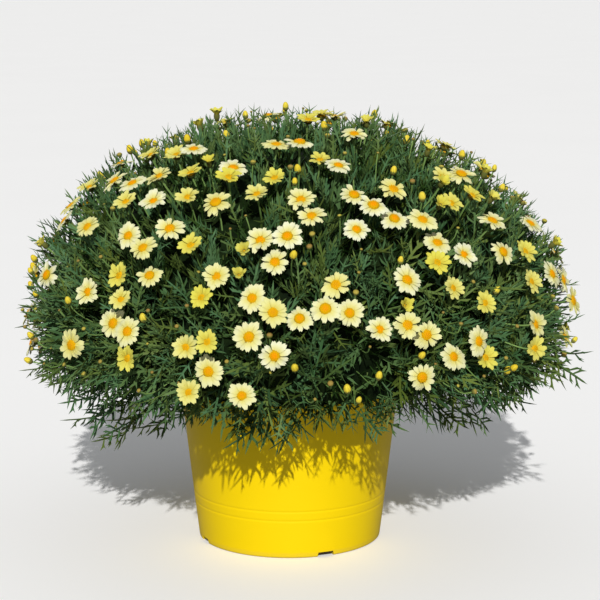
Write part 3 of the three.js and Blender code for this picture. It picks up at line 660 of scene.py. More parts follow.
# %% [markdown]
# ## Where the blooms stand
#
# The blooms that the picture shows stand on the dome where the line of sight through their pixel
# meets it, and the ones that have just opened are listed, because they are deeper yellow. The sides
# that it does not show get blooms by an even spiral. Blooms that would grow through each other are
# pushed apart until their petals just lap over, and neighbours in a cluster stand at different
# heights, as on a real plant.

# %% Blooms in the picture, by their places in it
SEEN_BLOOMS = [
    (112, 155), (267, 111), (308, 121), (151, 156), (177, 156), (196, 156), (191, 174), (115, 181),
    (90, 188), (133, 184), (162, 183), (233, 170), (229, 184), (273, 180), (258, 190), (280, 146),
    (296, 148), (188, 198), (216, 197), (149, 199), (133, 206), (71, 206), (65, 221), (88, 227),
    (129, 236), (170, 229), (191, 246), (147, 254), (47, 275), (120, 276), (147, 271), (89, 292),
    (126, 301), (216, 282), (208, 294), (260, 245), (287, 241), (273, 258), (255, 300), (273, 312),
    (301, 200), (311, 221), (320, 161), (337, 172), (354, 195), (393, 190), (356, 230), (376, 211),
    (393, 215), (420, 226), (437, 239), (459, 258), (442, 178), (451, 204), (468, 201), (492, 221),
    (461, 174), (530, 224), (503, 252), (524, 252), (433, 266), (407, 280), (336, 285), (455, 287),
    (530, 282), (551, 274), (563, 284), (484, 303), (354, 135), (72, 345), (111, 324), (127, 334),
    (132, 354), (188, 347), (208, 342), (207, 373), (192, 388), (242, 395), (249, 337), (275, 355),
    (305, 316), (325, 312), (343, 312), (383, 329), (401, 326), (429, 335), (453, 357), (473, 341),
    (488, 359), (422, 377), (533, 329), (529, 343), (570, 337), (570, 297),
]
SEEN_YOUNG_BLOOMS = [
    (41, 244), (246, 257), (238, 270), (137, 134), (199, 124), (215, 118), (208, 160), (438, 190),
    (427, 153), (480, 180), (493, 197), (546, 248), (406, 305), (436, 211), (365, 131),
]
SEEN_LEMON_BLOOMS = {
    (488, 359), (132, 354), (455, 287), (208, 342), (192, 388), (468, 201), (177, 156), (451, 204),
    (229, 184), (433, 266), (191, 246), (208, 294), (188, 347), (529, 343), (133, 206), (524, 252),
    (120, 276), (530, 282), (273, 180), (484, 303), (191, 174), (126, 301), (320, 161), (151, 156),
    (442, 178), (258, 190), (308, 121), (90, 188), (188, 198),
}
BLOOM_SPACING = 0.029
CLUSTER_LIFTS = (0.001, 0.009, -0.005, 0.005)
CLUSTER_REACH = 0.038
YOUNG_SPACING = 0.024
UNSEEN_SPACING = 0.04625
SPACING_ROUNDS = 40
UNSEEN_DENSITY = 168
UNSEEN_YOUNG_SHARE = 0.12
HIDDEN_BELOW = 0.12
BLOOM_LOWEST = math.radians(108)
YOUNG_TRAIT = 1
SIZE_TRAIT = 2
BLOOM_VARIETY = 0.08
BLOOM_NOD = 0.16
SEEN_LEAN = 0.15
FACING_UP = 0.2
SKIRT_LIFT = 1.2


def sight_through(x, y):
    """The direction of the line of sight through a pixel of the picture."""
    across = (x - PICTURE_CENTRE) / CAMERA_FOCUS
    down = (y - PICTURE_CENTRE) / CAMERA_FOCUS
    rise, level = math.sin(CAMERA_PITCH), math.cos(CAMERA_PITCH)
    return Vector((across, level - down * rise, -rise - down * level))


def meet(squash, sight):
    """Where a line of sight meets the ellipsoid that a squashed space makes a ball, or comes nearest."""
    start = (CAMERA_PLACE - DOME_CENTRE) * squash
    along = sight * squash
    square = along.length_squared
    half = start.dot(along)
    rest = half * half - square * (start.length_squared - 1)
    travel = (-half - math.sqrt(max(rest, 0))) / square
    on_ball = (start + along * travel).normalized()
    return Vector([on_ball[i] / squash[i] for i in range(3)]) + DOME_CENTRE


def seen_on_dome(x, y):
    """Where the line of sight through a pixel meets the dome: on its upper part, or else its skirt."""
    for rise in (DOME_RISE, DOME_SKIRT):
        spot = meet(Vector((1 / DOME_RADIUS, 1 / DOME_RADIUS, 1 / rise)), sight_through(x, y))
        if spot.z >= DOME_CENTRE.z:
            break
    return spot


def space_out(blooms):
    for _ in range(SPACING_ROUNDS):
        for i, one in enumerate(blooms):
            for two in blooms[i + 1:]:
                apart = two["centre"] - one["centre"]
                room = YOUNG_SPACING if one["young"] or two["young"] else BLOOM_SPACING
                lack = room - apart.length
                if lack > 0:
                    apart.normalize()
                    one["centre"] -= apart * (lack / 2)
                    two["centre"] += apart * (lack / 2)


def place_blooms():
    blooms = [{"centre": seen_on_dome(*spot), "young": False, "seen": True,
               "lemon": spot in SEEN_LEMON_BLOOMS} for spot in SEEN_BLOOMS]
    blooms += [{"centre": seen_on_dome(*spot), "young": True, "seen": True} for spot in SEEN_YOUNG_BLOOMS]
    for i in range(UNSEEN_DENSITY):
        place = dome_point(i * GOLDEN_ANGLE, spiral_polar(i, UNSEEN_DENSITY, BLOOM_LOWEST), 1)
        hidden = dome_normal(place).dot((CAMERA_PLACE - place).normalized()) < HIDDEN_BELOW
        if hidden and all((bloom["centre"] - place).length > UNSEEN_SPACING for bloom in blooms):
            young = draw(i, YOUNG_TRAIT) < UNSEEN_YOUNG_SHARE
            blooms.append({"centre": place, "young": young, "seen": False})
    space_out(blooms)
    draws = random.Random(17)
    for i, bloom in enumerate(blooms):
        normal = dome_normal(bloom["centre"])
        near = [b["lift"] for b in blooms[:i] if (b["centre"] - bloom["centre"]).length < CLUSTER_REACH]
        bloom["lift"] = max(CLUSTER_LIFTS, key=lambda lift: min([abs(lift - n) for n in near] + [1]))
        bloom["centre"] += normal * bloom["lift"]
        bloom["facing"] = blend((normal, 0.8), (UP, FACING_UP + SKIRT_LIFT * max(0, -normal.z)),
                                (FRONT, SEEN_LEAN if bloom["seen"] else 0), (any_way(draws), BLOOM_NOD))
        bloom["size"] = 1 + BLOOM_VARIETY * (2 * draw(i, SIZE_TRAIT) - 1)
    return blooms


blooms = place_blooms()
print(len(blooms), "blooms")

# %% [markdown]
# ## Leaves
#
# A leaf is 50 to 60 mm long and cut almost to its midrib into narrow fingers, some with a tooth or
# two. A modelled outline with a keel under it holds this better than a flat card with a picture:
# every finger is a slim closed blade of three sides, two edges on top and a keel below, so it casts
# a true shadow and shows light against the sky. There are twelve leaves: four that spread, four
# narrow ones for the upright bundles, and four wide open ones for the rim.

# %% One finger of a leaf
FINGER_KEEL = 0.45


def add_finger(points, faces, spine, widths):
    """Adds a closed three-sided finger that follows a spine and ends in a point."""
    start = len(points)
    for i, width in enumerate(widths):
        ahead = spine[i + 1] - spine[max(i - 1, 0)]
        side = UP.cross(ahead).normalized() * (width / 2)
        points += [spine[i] + side, spine[i] - side, spine[i] - UP * (width * FINGER_KEEL)]
    points.append(spine[-1])
    left, right, keel = start, start + 1, start + 2
    faces.append((left, keel, right))
    for i in range(len(widths) - 1):
        row = start + 3 * i
        for one, two in ((1, 0), (0, 2), (2, 1)):
            faces.append((row + one, row + 3 + one, row + 3 + two, row + two))
    row = start + 3 * (len(widths) - 1)
    tip = len(points) - 1
    faces += [(row + 1, tip, row), (row, tip, row + 2), (row + 2, tip, row + 1)]


# %% A cut leaf
LEAF_LENGTH = 0.062
RIB_WIDTHS = (0.0018, 0.0028, 0.0032, 0.0028)
RIB_PLACES = (0, 0.3, 0.6, 0.88, 1.04)
LOBE_ROOT_WIDTH = 0.0020
LOBE_WIDTH = 0.0033
LOBES = ((0.24, 0.27, 50), (0.44, 0.32, 44), (0.64, 0.27, 36))
LEAF_CURL = (-0.28, 0.12)
LEAF_SWAY = (-0.09, 0.09)
PAIR_STAGGER = 0.045
LOBE_REACH = (0.75, 1.2)
LOBE_LIFT = (0.0, 0.35)
LOBE_MIDDLE = 0.66
LOBE_END = 0.40
TOOTH_SHARE = 0.75
TOOTH_TURNS = (-42, 40)
TOOTH_PLACE = 0.5
TOOTH_LENGTH = 0.42
TOOTH_WIDTH = LOBE_WIDTH * 0.9


def lobe_way(angle, side, lift):
    return Vector((math.cos(angle), side * math.sin(angle), lift)).normalized()


def cut_leaf(seed, spread):
    """A leaf along +X with its upper side towards +Z; spread says how far its lobes stand off."""
    draws = random.Random(seed)
    points, faces = [], []
    curl = draws.uniform(*LEAF_CURL)
    sway = draws.uniform(*LEAF_SWAY)

    def rib(t):
        return Vector((t, sway * t * t, curl * t * t)) * LEAF_LENGTH

    add_finger(points, faces, [rib(t) for t in RIB_PLACES], RIB_WIDTHS)
    for side in (-1, 1):
        for spot, length, angle in LOBES:
            root = rib(spot + draws.uniform(-0.03, 0.03) + PAIR_STAGGER * side)
            reach = length * LEAF_LENGTH * draws.uniform(*LOBE_REACH)
            turn = math.radians(angle + draws.uniform(-8, 8)) * spread
            lift = draws.uniform(*LOBE_LIFT)
            out = lobe_way(turn, side, lift)
            middle = root + out * (reach * LOBE_MIDDLE)
            tip = middle + lobe_way(turn * 0.5, side, lift) * (reach * LOBE_END)
            add_finger(points, faces, [root, middle, tip], (LOBE_ROOT_WIDTH, LOBE_WIDTH))
            if draws.random() < TOOTH_SHARE:
                point = lobe_way(turn + math.radians(draws.choice(TOOTH_TURNS)), side, lift)
                near = root + out * (reach * TOOTH_PLACE)
                add_finger(points, faces, [near, near + point * (reach * TOOTH_LENGTH)], (TOOTH_WIDTH,))
    return mesh_from("cut_leaf", points, faces)


LEAF_VARIANTS = 4
LEAF_SPREADS = (1.0, 0.6, 1.3)
leaf_meshes = [cut_leaf(20 * group + number, spread) for group, spread in enumerate(LEAF_SPREADS)
               for number in range(LEAF_VARIANTS)]
print("leaves", [triangles(mesh) for mesh in leaf_meshes], "triangles")

# %% [markdown]
# ## Leafy shoots
#
# Every shoot carries its leaves on a spiral, each a golden angle on from the last. The lower ones
# are long and stand away from the stem, the upper ones are short and close round the tip, and the
# shoot bends towards the light. Old leaves are dark and young ones pale, and some are bluish and
# some yellowish. A white noise on a leaf's own numbers picks that cast, so a leaf keeps one from its
# root to its tip, as a noise in space would not.

# %% The shoot tree
SHOOT_LENGTH = 0.062
SHOOT_BEND = 0.012
STEM_RADIUS = 0.0012
STEM_SIDES = 4
FIRST_LEAF_PLACE = 0.12


def shoot_tree():
    graph = Growth("leafy_shoot", leaf_count=11, length=SHOOT_LENGTH, bend=SHOOT_BEND, base_angle=64.0,
                   tip_angle=14.0, tip_size=0.55, first_leaf=0, seed=0)
    given = graph.given
    index = graph.node("GeometryNodeInputIndex")
    along = index / (given.leaf_count - 1)

    def on_stem(share):
        return graph.vector(X=given.bend * share * share, Z=given.length * share)

    places = on_stem(FIRST_LEAF_PLACE + along * (1 - FIRST_LEAF_PLACE))
    nodes = graph.node("GeometryNodePoints", Count=given.leaf_count, Position=places)
    angle = given.base_angle + (given.tip_angle - given.base_angle) * along + graph.drawn(-9, 9, 1)
    azimuth = index * GOLDEN_ANGLE + graph.drawn(-0.35, 0.35, 2)
    turn = graph.vector(X=graph.drawn(-0.5, 0.5, 3), Y=(angle - 90) * math.radians(1), Z=azimuth)
    size = (1 + (given.tip_size - 1) * along * along) * graph.drawn(0.82, 1.15, 4)
    leaf = graph.drawn(given.first_leaf, given.first_leaf + (LEAF_VARIANTS - 1), 0, "INT")
    leaves = graph.carry(graph.copies(nodes, graph.turn(turn), size, leaf), "leaf", index + 1)
    line = graph.node("GeometryNodeCurvePrimitiveLine", End=(0, 0, 1))
    steps = graph.node("GeometryNodeResampleCurve", Curve=line, Count=5)
    factor = graph.node("GeometryNodeSplineParameter", "Factor")
    stem = graph.node("GeometryNodeSetPosition", Geometry=steps, Position=on_stem(factor))
    return graph.end(leaves, graph.tube(stem, STEM_RADIUS * (1 - factor * 0.6), STEM_SIDES))


# %% The leaves' finish
CAST_BY_SHOOT = 31
CAST_BY_LEAF = 3.7
CAST_BIAS = 1.35
MOST_LEAVES = 13


def leaf_paint(graph):
    tone = graph.attribute("tone")
    leaf = graph.attribute("leaf")
    patch = graph.noise(38)
    youth = (tone * 0.6 + leaf / MOST_LEAVES * 0.55).at_most(1)
    old = graph.mix(patch, (0.024, 0.052, 0.008), (0.048, 0.096, 0.019))
    young = graph.mix(patch, (0.071, 0.136, 0.035), (0.140, 0.213, 0.072))
    chance = graph.node("ShaderNodeTexWhiteNoise", "Value", noise_dimensions="1D",
                        W=tone * CAST_BY_SHOOT + leaf * CAST_BY_LEAF)
    cast = graph.mix(chance ** CAST_BIAS, (0.70, 0.98, 1.47), (1.22, 0.97, 0.55))
    return dict(Base_Color=graph.mix(1.0, graph.mix(youth, old, young), cast, "MULTIPLY"),
                Roughness=0.5 + patch * 0.15, Specular_IOR_Level=0.12,
                Normal=graph.bump(graph.noise(1200, 2), 0.0003, 0.3))


leaf_green = finish("leaf_green", leaf_paint)

# %% Shoots of several kinds
NARROW_LEAF = LEAF_VARIANTS
OPEN_LEAF = 2 * LEAF_VARIANTS
SHOOT_KINDS = (
    dict(leaf_count=12, base_angle=62.0, tip_angle=12.0, bend=0.012),
    dict(leaf_count=12, base_angle=56.0, tip_angle=16.0, bend=0.007),
    dict(leaf_count=12, base_angle=70.0, tip_angle=20.0, bend=0.016),
    dict(leaf_count=13, base_angle=42.0, tip_angle=9.0, bend=0.004, first_leaf=NARROW_LEAF),
    dict(leaf_count=13, base_angle=36.0, tip_angle=13.0, bend=0.009, first_leaf=NARROW_LEAF),
    dict(leaf_count=8, base_angle=58.0, tip_angle=20.0, bend=0.030, length=0.085, tip_size=0.85,
         first_leaf=OPEN_LEAF),
    dict(leaf_count=9, base_angle=74.0, tip_angle=24.0, bend=0.018, length=0.060, tip_size=0.80,
         first_leaf=OPEN_LEAF),
)
SPREAD_KINDS = (0, 1, 2)
UPRIGHT_KINDS = (3, 4)
HANGING_KIND = 5
OPEN_KIND = 6
start_point = mesh_from("start", [(0, 0, 0)])
shoots = shoot_tree()
shoot_meshes = [shoots.grow(f"leafy_shoot_{number}", start_point, leaf_meshes, leaf_green,
                            seed=40 + 10 * number, **kind) for number, kind in enumerate(SHOOT_KINDS)]
print("shoots", [triangles(mesh) for mesh in shoot_meshes], "triangles")

# %% [markdown]
# ## The bush
#
# The shoots are spread evenly over the dome by a golden spiral, with a little unevenness. On top
# they point up in tight bundles, at the sides outward, and at the skirt they droop. Long ones hang
# over the rim of the pot and round the skirt: in front where the picture shows their tips, and at
# the back by chance. The low ones in front are tucked in, because the sun reaches the pot under them.
# Leaves that would cover a bloom are taken off. The shoots are planted in nine groups, one for the
# crown and one for each leafy branch that carries them.

# %% Where the shoots stand
SHOOT_COUNT = 450
SHOOT_DEPTH = 0.080
FRONT_SKIRT = math.radians(114)
BACK_SKIRT = math.radians(125)
THIN_SIDE = math.radians(24)
THIN_AZIMUTH = math.radians(-76)
TUCKED_IN = 0.15
UPRIGHT_ABOVE = math.radians(58)
UPRIGHT_SINK = 0.035
OPEN_BELOW = math.radians(98)
OPEN_SINK = 0.045
TOP_BUNDLES = 0.85
SIDE_BUNDLES = 0.22
SHOOT_REACH = (0.94, 1.03)
SHOOT_SIZES = (0.9, 1.14)
SHOOT_STRAY = 0.24
UPRIGHT_LIFT = 0.95
SPREAD_LIFT = 0.5
SKIRT_DROOP = 3.6
CROWN_ANGLE = math.radians(25)
BRANCH_COUNT = 8


def shoot_stands():
    draws = random.Random(7)
    stands = []
    for i in range(SHOOT_COUNT):
        polar = spiral_polar(i, SHOOT_COUNT, BACK_SKIRT)
        azimuth = i * GOLDEN_ANGLE + draws.uniform(-0.06, 0.06)
        polar += draws.uniform(-0.05, 0.05)
        front = max(0.0, -math.sin(azimuth)) ** 2
        lowest = BACK_SKIRT + (FRONT_SKIRT - BACK_SKIRT) * front
        thin = THIN_SIDE * front * max(0.0, math.cos(azimuth - THIN_AZIMUTH)) ** 8
        if polar > lowest - thin / 2:
            continue
        upright = draws.random() < (TOP_BUNDLES if polar < UPRIGHT_ABOVE else SIDE_BUNDLES)
        opened = polar > OPEN_BELOW
        upright = upright and not opened
        scale = draws.uniform(*SHOOT_REACH) - (TUCKED_IN if polar > lowest - thin else 0)
        tip = dome_point(azimuth, polar, scale - (UPRIGHT_SINK if upright else OPEN_SINK if opened else 0))
        droop = 1 - max(0.0, -math.cos(polar)) * SKIRT_DROOP
        lift = UPRIGHT_LIFT if upright else SPREAD_LIFT
        aim = blend((dome_normal(tip), 0.8), (UP, lift * droop), (any_way(draws), SHOOT_STRAY))
        kind = draws.choice(UPRIGHT_KINDS if upright else SPREAD_KINDS)
        stands.append({
            "place": tip - aim * SHOOT_DEPTH, "turn": standing(aim, UP, draws.uniform(-0.9, 0.9)),
            "size": draws.uniform(*SHOOT_SIZES), "tone": draws.random(),
            "kind": OPEN_KIND if opened else kind})
    return stands


# %% Where long shoots hang
HANGING_LENGTH = 0.100
HANGING_DROP = 0.034
HANGING_SIDES = (
    (-0.255, ((203, 418), (221, 425), (239, 446), (264, 438), (289, 450), (322, 424), (349, 404),
              (366, 434), (391, 440), (409, 424), (300, 418), (252, 420), (255, 444), (276, 446),
              (311, 438), (405, 414))),
    (-0.12, ((46, 386), (62, 392), (78, 408), (86, 440), (104, 446), (128, 432), (154, 440),
             (177, 428), (112, 424), (436, 416), (470, 432), (486, 428), (452, 424), (519, 403),
             (555, 382), (534, 392), (576, 380))),
)
BACK_HANGING = 22
BACK_REACH = (0.2, 0.31)
BACK_HEIGHT = (0.13, 0.19)
RIM_SHOOTS = 26
RIM_REACH = (0.150, 0.205)
RIM_HEIGHT = (0.186, 0.206)
HANGING_SIZES = (1.0, 1.25)
RIM_SIZES = (0.5, 0.65)
HANGING_TONES = (0.1, 0.7)


def hanging_stands():
    """Long shoots whose bent tips end at given places, in front by the picture's pixels."""
    draws = random.Random(29)
    tips = []
    for depth, spots in HANGING_SIDES:
        for x, y in spots:
            sight = sight_through(x, y)
            tips.append(CAMERA_PLACE + sight * ((depth - CAMERA_PLACE.y) / sight.y))
    for i in range(BACK_HANGING):
        azimuth = math.pi * (i + draws.random()) / BACK_HANGING
        reach = draws.uniform(*BACK_REACH)
        height = draws.uniform(*BACK_HEIGHT)
        tips.append(DOME_CENTRE + Vector((reach * math.cos(azimuth), reach * math.sin(azimuth),
                                          height - DOME_CENTRE.z)))
    long_ones = len(tips)
    for i in range(RIM_SHOOTS):
        azimuth = TURN * (i + draws.random()) / RIM_SHOOTS
        reach = draws.uniform(*RIM_REACH)
        tips.append(Vector((reach * math.cos(azimuth), reach * math.sin(azimuth),
                            draws.uniform(*RIM_HEIGHT))))
    stands = []
    for number, tip in enumerate(tips):
        out = Vector((tip.x, tip.y, 0)).normalized()
        aim = blend((out, 0.75), (UP, -0.5), (any_way(draws), 0.14))
        size = draws.uniform(*(HANGING_SIZES if number < long_ones else RIM_SIZES))
        root = tip - (aim * HANGING_LENGTH - UP * HANGING_DROP) * size
        stands.append({"place": root, "turn": standing(aim, -UP, draws.uniform(-0.5, 0.5)),
                       "size": size, "tone": draws.uniform(*HANGING_TONES), "kind": HANGING_KIND})
    return stands


# %% Taking off the leaves that would cover a bloom
CLEAR_HEIGHT = 0.046
CLEAR_RADIUS = 0.0152


def uncover(mesh):
    """Deletes whole leaves that stand in front of a bloom; they are told apart by their numbers."""
    tones = [0.0] * len(mesh.vertices)
    numbers = [0.0] * len(mesh.vertices)
    mesh.attributes["tone"].data.foreach_get("value", tones)
    mesh.attributes["leaf"].data.foreach_get("value", numbers)
    spots = kdtree.KDTree(len(mesh.vertices))
    for point in mesh.vertices:
        spots.insert(point.co, point.index)
    spots.balance()
    covering = set()
    for bloom in blooms:
        middle = bloom["centre"] + bloom["facing"] * (CLEAR_HEIGHT / 2)
        ways = [bloom["facing"]]
        if bloom["seen"]:
            ways.append((CAMERA_PLACE - bloom["centre"]).normalized())
        for place, index, _ in spots.find_range(middle, CLEAR_HEIGHT * 0.8):
            away = place - bloom["centre"]
            for way in ways:
                ahead = away.dot(way)
                if ahead > -0.001 and (away - way * ahead).length < CLEAR_RADIUS * bloom["size"]:
                    covering.add((tones[index], numbers[index]))
    body = bmesh.new()
    body.from_mesh(mesh)
    body.verts.ensure_lookup_table()
    gone = [body.verts[i] for i in range(len(tones)) if numbers[i] and (tones[i], numbers[i]) in covering]
    bmesh.ops.delete(body, geom=gone, context="VERTS")
    body.to_mesh(mesh)
    body.free()
    return len(covering)


# %% The nine leafy masses
def mass_of(stand):
    """The leafy mass that a shoot grows from: the crown or one of the branches round it."""
    away = stand["place"] - DOME_CENTRE
    if stand["kind"] != HANGING_KIND and math.atan2(away.xy.length, away.z) < CROWN_ANGLE:
        return "leafy_crown"
    return f"leafy_branch_{int(math.atan2(away.y, away.x) % TURN / TURN * BRANCH_COUNT) + 1}"


all_shoots = shoot_stands() + hanging_stands()
for mass in ["leafy_crown"] + [f"leafy_branch_{i + 1}" for i in range(BRANCH_COUNT)]:
    own = [stand for stand in all_shoots if mass_of(stand) == mass]
    leaves = planting.grow(f"{mass}_leaves", planted(mass, own), shoot_meshes, leaf_green)
    taken = uncover(leaves)
    print(mass, len(own), "shoots", taken, "leaves off")
    add_piece(f"{mass}_leaves", leaves, "leaves", mass, sharp=50)

# %% [markdown]
# ## The old leaves inside
#
# Under the outer leaves the bush is a dark tangle of older leaves and twigs that lets no light
# through. A rough shell with two walls stands for its depth, and small plain leaves are scattered
# over it so that no smooth patch shows between the shoots. The shell is painted near black and the
# leaves on it dark: partly the colour of old leaves, partly painted shade for the deep inside of
# the bush. It is hollow and open below, where the stems come in. The same scatter further out,
# with no shell under it, gives the short leaves between the shoots.

# %% A rough shell, painted dark as shade
INNER_SCALE = 0.84
INNER_HOLLOW = 0.50
INNER_SIDES = 72
INNER_ROWS = 32
HOLLOW_ROWS = 12
INNER_SKIRT = math.radians(114)
ROUGHNESS_STEPS = ((0.011, 28), (0.005, 80))


def rough_point(azimuth, polar, scale):
    point = dome_point(azimuth, polar, scale)
    out = dome_normal(point)
    for depth, wave in ROUGHNESS_STEPS:
        point += out * depth * noise.noise(point * wave)
    return point


def inner_shell(size):
    sweeps = [(INNER_SKIRT * i / INNER_ROWS, size) for i in range(1, INNER_ROWS + 1)]
    hollow = [(INNER_SKIRT * i / HOLLOW_ROWS, INNER_HOLLOW) for i in range(1, HOLLOW_ROWS + 1)]
    rows = sweeps + hollow[::-1]
    points = [rough_point(0, 0, size)]
    for polar, scale in rows:
        points += [rough_point(TURN * i / INNER_SIDES, polar, scale) for i in range(INNER_SIDES)]
    points.append(rough_point(0, 0, INNER_HOLLOW))
    faces = []
    last = len(points) - 1
    for i in range(INNER_SIDES):
        j = (i + 1) % INNER_SIDES
        faces.append((0, 1 + i, 1 + j))
        for row in range(len(rows) - 1):
            start = 1 + row * INNER_SIDES
            under = start + INNER_SIDES
            faces.append((start + i, under + i, under + j, start + j))
        end = last - INNER_SIDES
        faces.append((last, end + j, end + i))
    return mesh_from("inner_shell", points, faces)


# %% Leaves scattered over it
SCATTER_DENSITY = 2600
OUTER_SCALE = 0.93
OUTER_DENSITY = 1750
SCATTER_LEAN = 1.1
SMALL_LEAVES = 3
SMALL_LENGTH = 0.034
SMALL_CURL = (0.05, 0.2)
SMALL_RIB_WIDTHS = (0.0018, 0.0022)
SMALL_PAIRS = (0.35, 0.62)
SMALL_FINGER = 0.0095
SMALL_FINGER_SIZES = (0.8, 1.2)
SMALL_FINGER_WIDTH = 0.002


def small_leaf(seed):
    """A plain leaf with two pairs of fingers, for places that stay in the shade."""
    draws = random.Random(seed)
    points = []
    faces = []
    rib = [Vector((t, 0, draws.uniform(*SMALL_CURL) * t * t)) * SMALL_LENGTH for t in (0, 0.5, 1)]
    add_finger(points, faces, rib, SMALL_RIB_WIDTHS)
    for side in (-1, 1):
        for t in SMALL_PAIRS:
            root = rib[0].lerp(rib[2], t)
            reach = SMALL_FINGER * draws.uniform(*SMALL_FINGER_SIZES)
            tip = root + Vector((0.75, side, 0.3)) * reach
            add_finger(points, faces, [root, tip], (SMALL_FINGER_WIDTH,))
    return mesh_from("small_leaf", points, faces)


def scatter_tree(surface_too):
    graph = Growth("scattered_leaves", density=float(SCATTER_DENSITY), seed=3)
    given = graph.given
    spots = graph.node("GeometryNodeDistributePointsOnFaces", Mesh=graph.base, Density=given.density,
                       Seed=given.seed)
    lean = graph.vector(X=graph.drawn(-0.6, 0.6, 1), Y=SCATTER_LEAN * graph.drawn(-1.2, -0.5, 2),
                        Z=graph.drawn(0, TURN, 3))
    stance = graph.node("FunctionNodeRotateRotation", rotation_space="LOCAL",
                        Rotation=spots.other("Rotation"), Rotate_By=graph.turn(lean))
    shape = graph.drawn(0, SMALL_LEAVES - 1, 4, "INT")
    copies = graph.copies(spots, stance, graph.drawn(0.7, 1.2, 5), shape)
    toned = graph.carry(copies, "tone", graph.drawn(0.25, 0.8, 6))
    leaves = graph.carry(toned, "leaf", graph.drawn(2, 9, 7))
    return graph.end(leaves, graph.base) if surface_too else graph.end(leaves)


def old_leaf_paint(graph):
    # Painted shade: the shell is near black and the leaves scattered on it are dark, standing for old leaves
    # and the deep shadow inside the bush.
    patch = graph.noise(45, 4)
    leafy = graph.ramp(patch, (0.3, (0.005, 0.016, 0.002)), (0.55, (0.016, 0.042, 0.006)),
                       (0.75, (0.036, 0.060, 0.010)))
    shell = graph.ramp(patch, (0.35, (0.002, 0.006, 0.001)), (0.7, (0.008, 0.018, 0.003)))
    on_leaf = (graph.attribute("tone") * 4).at_most(1)
    return dict(Base_Color=graph.mix(on_leaf, shell, leafy), Roughness=0.8, Specular_IOR_Level=0.08,
                Normal=graph.bump(graph.noise(500), 0.001, 0.6))


small_leaves = [small_leaf(seed) for seed in range(SMALL_LEAVES)]
inner = scatter_tree(True).grow("old_inner_leaves", inner_shell(INNER_SCALE), small_leaves,
                                finish("old_leaves", old_leaf_paint))
outer = scatter_tree(False).grow("short_leaves", inner_shell(OUTER_SCALE), small_leaves, leaf_green,
                                 density=OUTER_DENSITY, seed=17)
print(uncover(outer), "short leaves off")
add_piece("old_inner_leaves", inner, "leaves", sharp=50)
add_piece("short_leaves", outer, "leaves", sharp=50)

# %% [markdown]
# ## Petals
#
# Each ray petal is about 13 mm long and 7 mm wide, narrow at its root, with two shallow grooves
# along it and a notched tip. It is a thin closed shell, because a sheet with no thickness has no
# underside colour of its own and no edge to catch the light. The mesh carries how far along and
# across it each point lies, and the finish reads that for the yellow root, the grooves' bump and a painted
# shade that darkens the grooves.

# %% One ray petal
PETAL_ROOT = 0.0040
PETAL_TIP = 0.0172
PETAL_HALF_WIDTHS = ((0.0, 0.0011), (0.30, 0.0026), (0.66, 0.0035), (1.0, 0.0024))
PETAL_ACROSS = (-1, -0.5, 0, 0.5, 1)
PETAL_TIP_CUTS = (0.0023, 0.0002, 0.0011, 0.0002, 0.0023)
GROOVE_DEPTH = 0.00050
PETAL_THICKNESS = 0.0003
PETAL_DROOP = (0.02, 0.34)
PETAL_CUP = (-0.3, 0.35)
PETAL_SWAY = (-0.09, 0.09)
PETAL_STRETCH = (0.86, 1.06)
PETAL_RISE = 0.18
PETAL_BEND_LENGTH = 0.012
TIP_CUT_RANGE = (0.6, 1.5)
PETAL_VARIANTS = 6


def ray_petal(seed):
    """A petal along +X with its upper side towards +Z."""
    draws = random.Random(100 + seed)
    droop = draws.uniform(*PETAL_DROOP)
    cup = draws.uniform(*PETAL_CUP)
    sway = draws.uniform(*PETAL_SWAY)
    stretch = draws.uniform(*PETAL_STRETCH)
    upper, along, across = [], [], []
    for t, half in PETAL_HALF_WIDTHS:
        for side, cut in zip(PETAL_ACROSS, PETAL_TIP_CUTS):
            reach = PETAL_ROOT + (PETAL_TIP - PETAL_ROOT) * t * stretch
            if t == 1:
                reach -= cut * draws.uniform(*TIP_CUT_RANGE)
            groove = GROOVE_DEPTH if abs(side) == 0.5 and t > 0 else 0
            height = PETAL_BEND_LENGTH * (PETAL_RISE * t - droop * t * t) + cup * half * side * side - groove
            upper.append(Vector((reach, half * side + sway * PETAL_BEND_LENGTH * t * t, height)))
            along.append(t)
            across.append(side)
    lower = [p - UP * PETAL_THICKNESS for p in upper]
    count = len(upper)
    width = len(PETAL_ACROSS)
    rows = len(PETAL_HALF_WIDTHS)
    faces = []
    for row in range(rows - 1):
        for column in range(width - 1):
            a = row * width + column
            b = a + width
            faces.append((a, b, b + 1, a + 1))
            faces.append((a + 1 + count, b + 1 + count, b + count, a + count))
    edge = list(range(0, count, width))
    edge += list(range(count - width + 1, count))
    edge += list(range(count - width - 1, 0, -width))
    edge += list(range(width - 2, 0, -1))
    for a, b in zip(edge, edge[1:] + edge[:1]):
        faces.append((b, a, a + count, b + count))
    return mesh_from("ray_petal", upper + lower, faces, along=along * 2, across=across * 2)


# %% A ring of petals
def petal_ring_tree():
    graph = Growth("petal_ring", count=14, lift=5.0, unevenness=6.0, size=1.0, seed=0)
    given = graph.given
    level = graph.vector(Z=graph.drawn(-0.0005, 0.0004, 5))
    roots = graph.node("GeometryNodePoints", Count=given.count, Position=level)
    lift = (given.lift + given.unevenness * graph.drawn(-1, 1, 1)) * math.radians(-1)
    azimuth = graph.node("GeometryNodeInputIndex") * TURN / given.count + graph.drawn(-0.1, 0.1, 3)
    turn = graph.vector(X=graph.drawn(-0.2, 0.2, 2), Y=lift, Z=azimuth)
    size = given.size * graph.drawn(0.89, 1.08, 4)
    petal = graph.drawn(0, PETAL_VARIANTS - 1, 0, "INT")
    return graph.end(graph.copies(roots, graph.turn(turn), size, petal))


